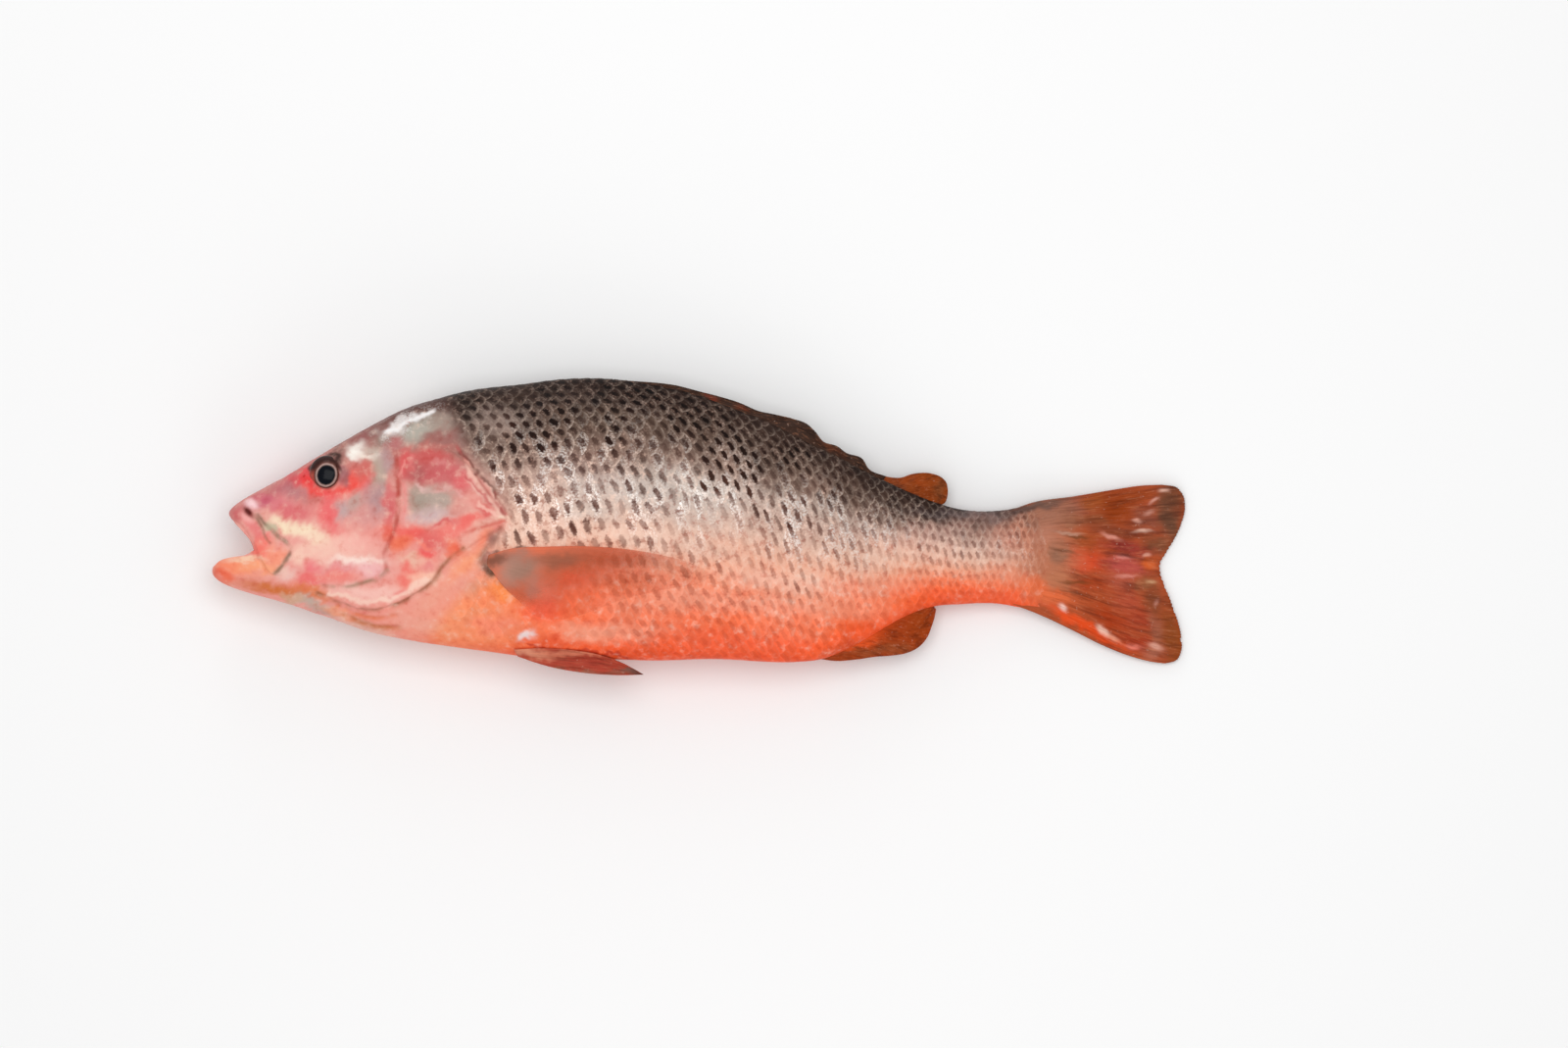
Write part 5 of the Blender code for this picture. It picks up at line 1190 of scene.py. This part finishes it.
WIRES = SimpleNamespace(floor=wired("FLOOR"), ceiling=wired("CEIL"), root=wired("SQRT"), most=wired("MAXIMUM"),
                        rest=wired("FLOORED_MODULO"), less=wired("LESS_THAN"))


def new_material(name, roughness, coat, coat_roughness, specular):
    """A material with its surface's even values set, and its tree."""
    material = bpy.data.materials.new(name)
    material.use_nodes = True
    surface = material.node_tree.nodes["Principled BSDF"]
    for key, value in (("Roughness", roughness), ("Coat Weight", coat), ("Coat Roughness", coat_roughness),
                       ("Specular IOR Level", specular)):
        surface.inputs[key].default_value = value
    return material, material.node_tree, surface


def plug(surface, name, wire):
    """Feeds a wire into one of the surface's inputs."""
    surface.id_data.links.new(wire.socket, surface.inputs[name])


def stored(tree, name, output=0):
    """An attribute of the piece: its colour, or its fourth number at output 1."""
    return add_node(tree, "ShaderNodeVertexColor", {"layer_name": name}, {}, output)


def object_place(tree):
    """The point's own place on the piece, in metres."""
    return add_node(tree, "ShaderNodeTexCoord", {}, {}, 3)


def places(tree, name):
    """The (u, v) of one of the piece's maps, as two wires."""
    both = add_node(tree, "ShaderNodeUVMap", {"uv_map": name}, {})
    return [both.node("ShaderNodeSeparateXYZ", {}, {0: both}, k) for k in (0, 1)]


def noise(tree, place, scale, detail=3.0, rough=0.55, stretch=None):
    """Soft noise between about 0.2 and 0.8 at a scale in features per metre or per map unit."""
    if stretch is not None:
        place = place.node("ShaderNodeVectorMath", {"operation": "MULTIPLY"}, {0: place, 1: stretch})
    return add_node(tree, "ShaderNodeTexNoise", {},
                    {"Vector": place, "Scale": scale, "Detail": detail, "Roughness": rough})


# %% [markdown]
# ## The finish of the skin
# The painted tone is the ground. On it each scale has a dark spot near its middle, darker on the back, and
# a pale free edge, and both vary from scale to scale. Noise breaks the tone into the small blotches of a face.
# Where the silvery band runs, some scales gleam: they are paler and reflect like metal. The skin is damp, which
# is a faint clear coat over a half gloss surface.

# %% Skin material
skin_material, tree, surface = new_material("snapper_skin", 0.4, 0.04, 0.2, 0.08)
PALE_BLOTCH, RED_BLOTCH, GREY_BLOTCH = (0.95, 0.64, 0.51), (0.74, 0.26, 0.20), (0.40, 0.27, 0.23)
RED_SPOT, DARK_SPOT = (0.38, 0.14, 0.10), (0.10, 0.05, 0.035)
GLEAM_COLOUR, EDGE_COLOUR = (0.80, 0.77, 0.74), (0.88, 0.68, 0.56)
BLOTCHES, PATCHES, PORES, GRAIN = 190.0, 330.0, 900.0, 3000.0
tone, marks, patchy = stored(tree, "tone"), stored(tree, "marks"), stored(tree, "marks", 1)
spot, edge, silver = (marks.node("ShaderNodeSeparateColor", {}, {0: marks}, k) for k in range(3))
place = object_place(tree)
u, v = places(tree, "scales")
tile, row, behind, beside = scale_under(u, v, WIRES)
tile_place = tile.node("ShaderNodeCombineXYZ", {}, {0: tile, 1: row})
chance = tile_place.node("ShaderNodeTexWhiteNoise", {"noise_dimensions": "2D"}, {"Vector": tile_place})
second_place = tile_place.node("ShaderNodeVectorMath", {"operation": "ADD"}, {0: tile_place, 1: (7.3, 1.9, 4.1)})
second_chance = tile_place.node("ShaderNodeTexWhiteNoise", {"noise_dimensions": "3D"}, {"Vector": second_place})
fine, broad = noise(tree, place, PORES), noise(tree, place, BLOTCHES, 2.0, 0.5)
grain, patch = noise(tree, place, GRAIN, 2.0), noise(tree, place, PATCHES, 2.0)

mottle = (((broad - 0.5) * 2.2 + (patch - 0.5) * (spot * 1.6 + 1.4)) * patchy
          + (fine - 0.5) * (spot * 0.9 + silver * 1.8 + 0.2))
light_patch = mottle.step(0.0, 0.85) * (0.42 + spot * 0.25)
dark_patch = (-mottle).step(0.0, 0.85) * (0.5 + spot * 0.2)
ground = blend(light_patch, tone, PALE_BLOTCH)
ground = blend(dark_patch, ground, blend(spot, RED_BLOTCH, GREY_BLOTCH), "MULTIPLY")
scale_light = (chance - 0.5) * 0.5 * (1 - patchy * 0.85) * spot.step(0.0, 0.15) + 1.0
ground = ground.node("ShaderNodeVectorMath", {"operation": "SCALE"}, {0: ground, 3: scale_light})

lean_in = (behind - 0.5 + beside * 0.48) / 0.23
away = lean_in * lean_in + beside * beside / 0.12 + (fine - 0.5) * 2.0 + (patch - 0.5) * 1.2
spot_mask = (1 - away.step(0.3, 1.8)) * spot * (spot * 0.4 + 0.5 + second_chance * 0.4)
edge_mask = (1 - behind.step(0.0, 0.3)) * edge * patch.step(0.30, 0.60) * (0.5 + fine * 0.9)
spot_colour = ground.node("ShaderNodeVectorMath", {"operation": "MULTIPLY"},
                          {0: ground, 1: blend(spot, RED_SPOT, DARK_SPOT)})
gleam = second_chance.step(0.35, 0.9) * (1 - behind.step(0.6, 0.95)) * silver * fine.step(0.42, 0.60)
colour = blend(edge_mask, blend(gleam * 0.7, ground, GLEAM_COLOUR), EDGE_COLOUR)
plug(surface, "Base Color", blend(spot_mask, colour, spot_colour))
plug(surface, "Roughness", 0.44 - gleam * 0.12 + (grain - 0.5) * 0.25)
plug(surface, "Metallic", gleam * 0.4)
pores = {"Strength": 0.35, "Distance": 0.0004, "Height": fine * 0.6 + grain * 0.4}
plug(surface, "Normal", add_node(tree, "ShaderNodeBump", {}, pores))
for piece in body_pieces:
    piece.data.materials.append(skin_material)
print("skin nodes:", len(tree.nodes))

# %% [markdown]
# ## The finish of the fins
# A fin is a thin membrane between its rays, and its colour runs in streaks along them: noise on the map of rays,
# counted in rays across and in fin lengths outwards, so that it comes out long and narrow. Some streaks darken the
# painted tone and thinner ones lighten it, and a few pale pink flecks of painted glint lie over them. The pectoral
# fin is so thin that the flank shows through towards its edge.

# %% Fin materials
BROAD_STREAK, THIN_STREAK = (0.36, 0.30, 0.28), (0.42, 0.34, 0.30)
LIGHT_STREAK, FLECK_GLINT, FLECKS = (0.70, 0.28, 0.14), (0.80, 0.52, 0.42), 620.0


def fin_finish(name, streaks, see_through):
    """A fin's material: its tone with dark and light streaks along the rays and flecks of painted glint, thinning out
    to the edge.
    """
    material, tree, surface = new_material(name, 0.46, 0.03, 0.2, 0.05)
    across, out = places(tree, "rays")
    rays_place = across.node("ShaderNodeCombineXYZ", {}, {0: across, 1: out})
    streak = noise(tree, rays_place, 1.0, 4.0, 0.6, (1.6, 3.6, 1.0))
    thin_streak = noise(tree, rays_place, 1.0, 3.0, 0.6, (5.0, 9.0, 1.0))
    fleck = noise(tree, object_place(tree), FLECKS, 4.0, 0.62)
    streaks = out.step(0.05, 0.35) * streaks
    colour = blend((0.56 - streak).step(0.0, 0.25) * streaks, stored(tree, "tone"), BROAD_STREAK, "MULTIPLY")
    colour = blend((0.5 - thin_streak).step(0.02, 0.22) * (streaks * 0.7), colour, THIN_STREAK, "MULTIPLY")
    colour = blend((thin_streak - 0.5).step(0.02, 0.25) * (streaks * 0.4), colour, LIGHT_STREAK)
    # Painted highlight: pale flecks of glint scattered over the streaks.
    plug(surface, "Base Color", blend((fleck - 0.62).step(0.0, 0.12) * (streaks * 0.45), colour, FLECK_GLINT))
    furrows = {"Strength": 0.2, "Distance": 0.0005, "Height": thin_streak * 0.7 + fleck * 0.3}
    plug(surface, "Normal", add_node(tree, "ShaderNodeBump", {}, furrows))
    if see_through:
        plug(surface, "Alpha", 1 - out.step(0.15, 0.95) * see_through)
    return material


ray_fin = fin_finish("snapper_fin", 0.6, 0.0)
thin_fin = fin_finish("snapper_thin_fin", 0.1, 0.93)
for piece in fins:
    piece.data.materials.append(thin_fin if piece.name.startswith("pectoral") else ray_fin)

# %% [markdown]
# ## The finish of the eyes
# The rings are painted already. Fine darker specks keep them from looking printed, and a low roughness with a
# smooth coat stands for the wet cornea.

# %% Eye material
eye_material, tree, surface = new_material("snapper_eye", 0.2, 0.05, 0.05, 0.08)
SPECK_COLOUR = (0.30, 0.16, 0.14)
specks = (noise(tree, object_place(tree), PORES) - 0.45).step(0.0, 0.3) * 0.35
plug(surface, "Base Color", blend(specks, stored(tree, "tone"), SPECK_COLOUR, "MULTIPLY"))
for eye in eyes:
    eye.data.materials.append(eye_material)

# %% [markdown]
# ## The table, the light and the camera
# The photo looks straight down on the fish, on a white ground with hardly any shadow. One large soft light hangs
# above, a little towards the back of the fish. Two weak ones stand low, one on the belly's side and one on the
# nape's, and brighten the flanks that turn away from it. The room itself gives even light. The camera stands high
# with a long lens, so that it sees the outline almost without perspective.

# %% Floor
FLOOR_REACH = 6
floor_mesh = bpy.data.meshes.new("table_top")
floor_mesh.from_pydata([(x * FLOOR_REACH, y * FLOOR_REACH, 0) for x, y in ((-1, -1), (1, -1), (1, 1), (-1, 1))], [],
                       [(0, 1, 2, 3)])
floor = bpy.data.objects.new("table_top", floor_mesh)
bpy.context.scene.collection.objects.link(floor)
floor_material, tree, surface = new_material("pale_table", 0.8, 0.0, 0.0, 0.14)
surface.inputs["Base Color"].default_value = (0.95, 0.95, 0.95, 1.0)
floor_mesh.materials.append(floor_material)

# %% Lights
ROOM_LIGHT = 0.6
LIGHTS = {"window": ((0.05, 0.25, 1.8), 1.3, 14.0), "belly_window": ((0.1, -1.3, 0.6), 0.6, 2.0),
          "back_window": ((-0.25, 1.3, 0.5), 0.5, 1.5)}
world = bpy.data.worlds.new("soft_room")
world.use_nodes = True
world.node_tree.nodes["Background"].inputs["Color"].default_value = (1.0, 1.0, 1.0, 1.0)
world.node_tree.nodes["Background"].inputs["Strength"].default_value = ROOM_LIGHT
bpy.context.scene.world = world
bpy.context.scene.view_settings.view_transform = "Standard"
for name, (place, size, power) in LIGHTS.items():
    light = bpy.data.lights.new(name, "AREA")
    light.size, light.energy = size, power
    lamp = bpy.data.objects.new(name, light)
    lamp.location = place
    lamp.rotation_euler = (-Vector(place)).to_track_quat("-Z", "Y").to_euler()
    bpy.context.scene.collection.objects.link(lamp)

# %% Camera
PHOTO_WIDTH, VIEW_CENTRE, CAMERA_HEIGHT, MIDDLE_HEIGHT = 0.805, (0.0435, 0.0015), 9.0, 0.028
SENSOR_WIDTH = 36.0
camera_data = bpy.data.cameras.new("camera")
camera_data.sensor_width = SENSOR_WIDTH
camera_data.lens = SENSOR_WIDTH * CAMERA_HEIGHT / PHOTO_WIDTH
camera_data.clip_end = 20.0
camera = bpy.data.objects.new("camera", camera_data)
camera.location = (*VIEW_CENTRE, CAMERA_HEIGHT + MIDDLE_HEIGHT)
bpy.context.scene.collection.objects.link(camera)
bpy.context.scene.camera = camera
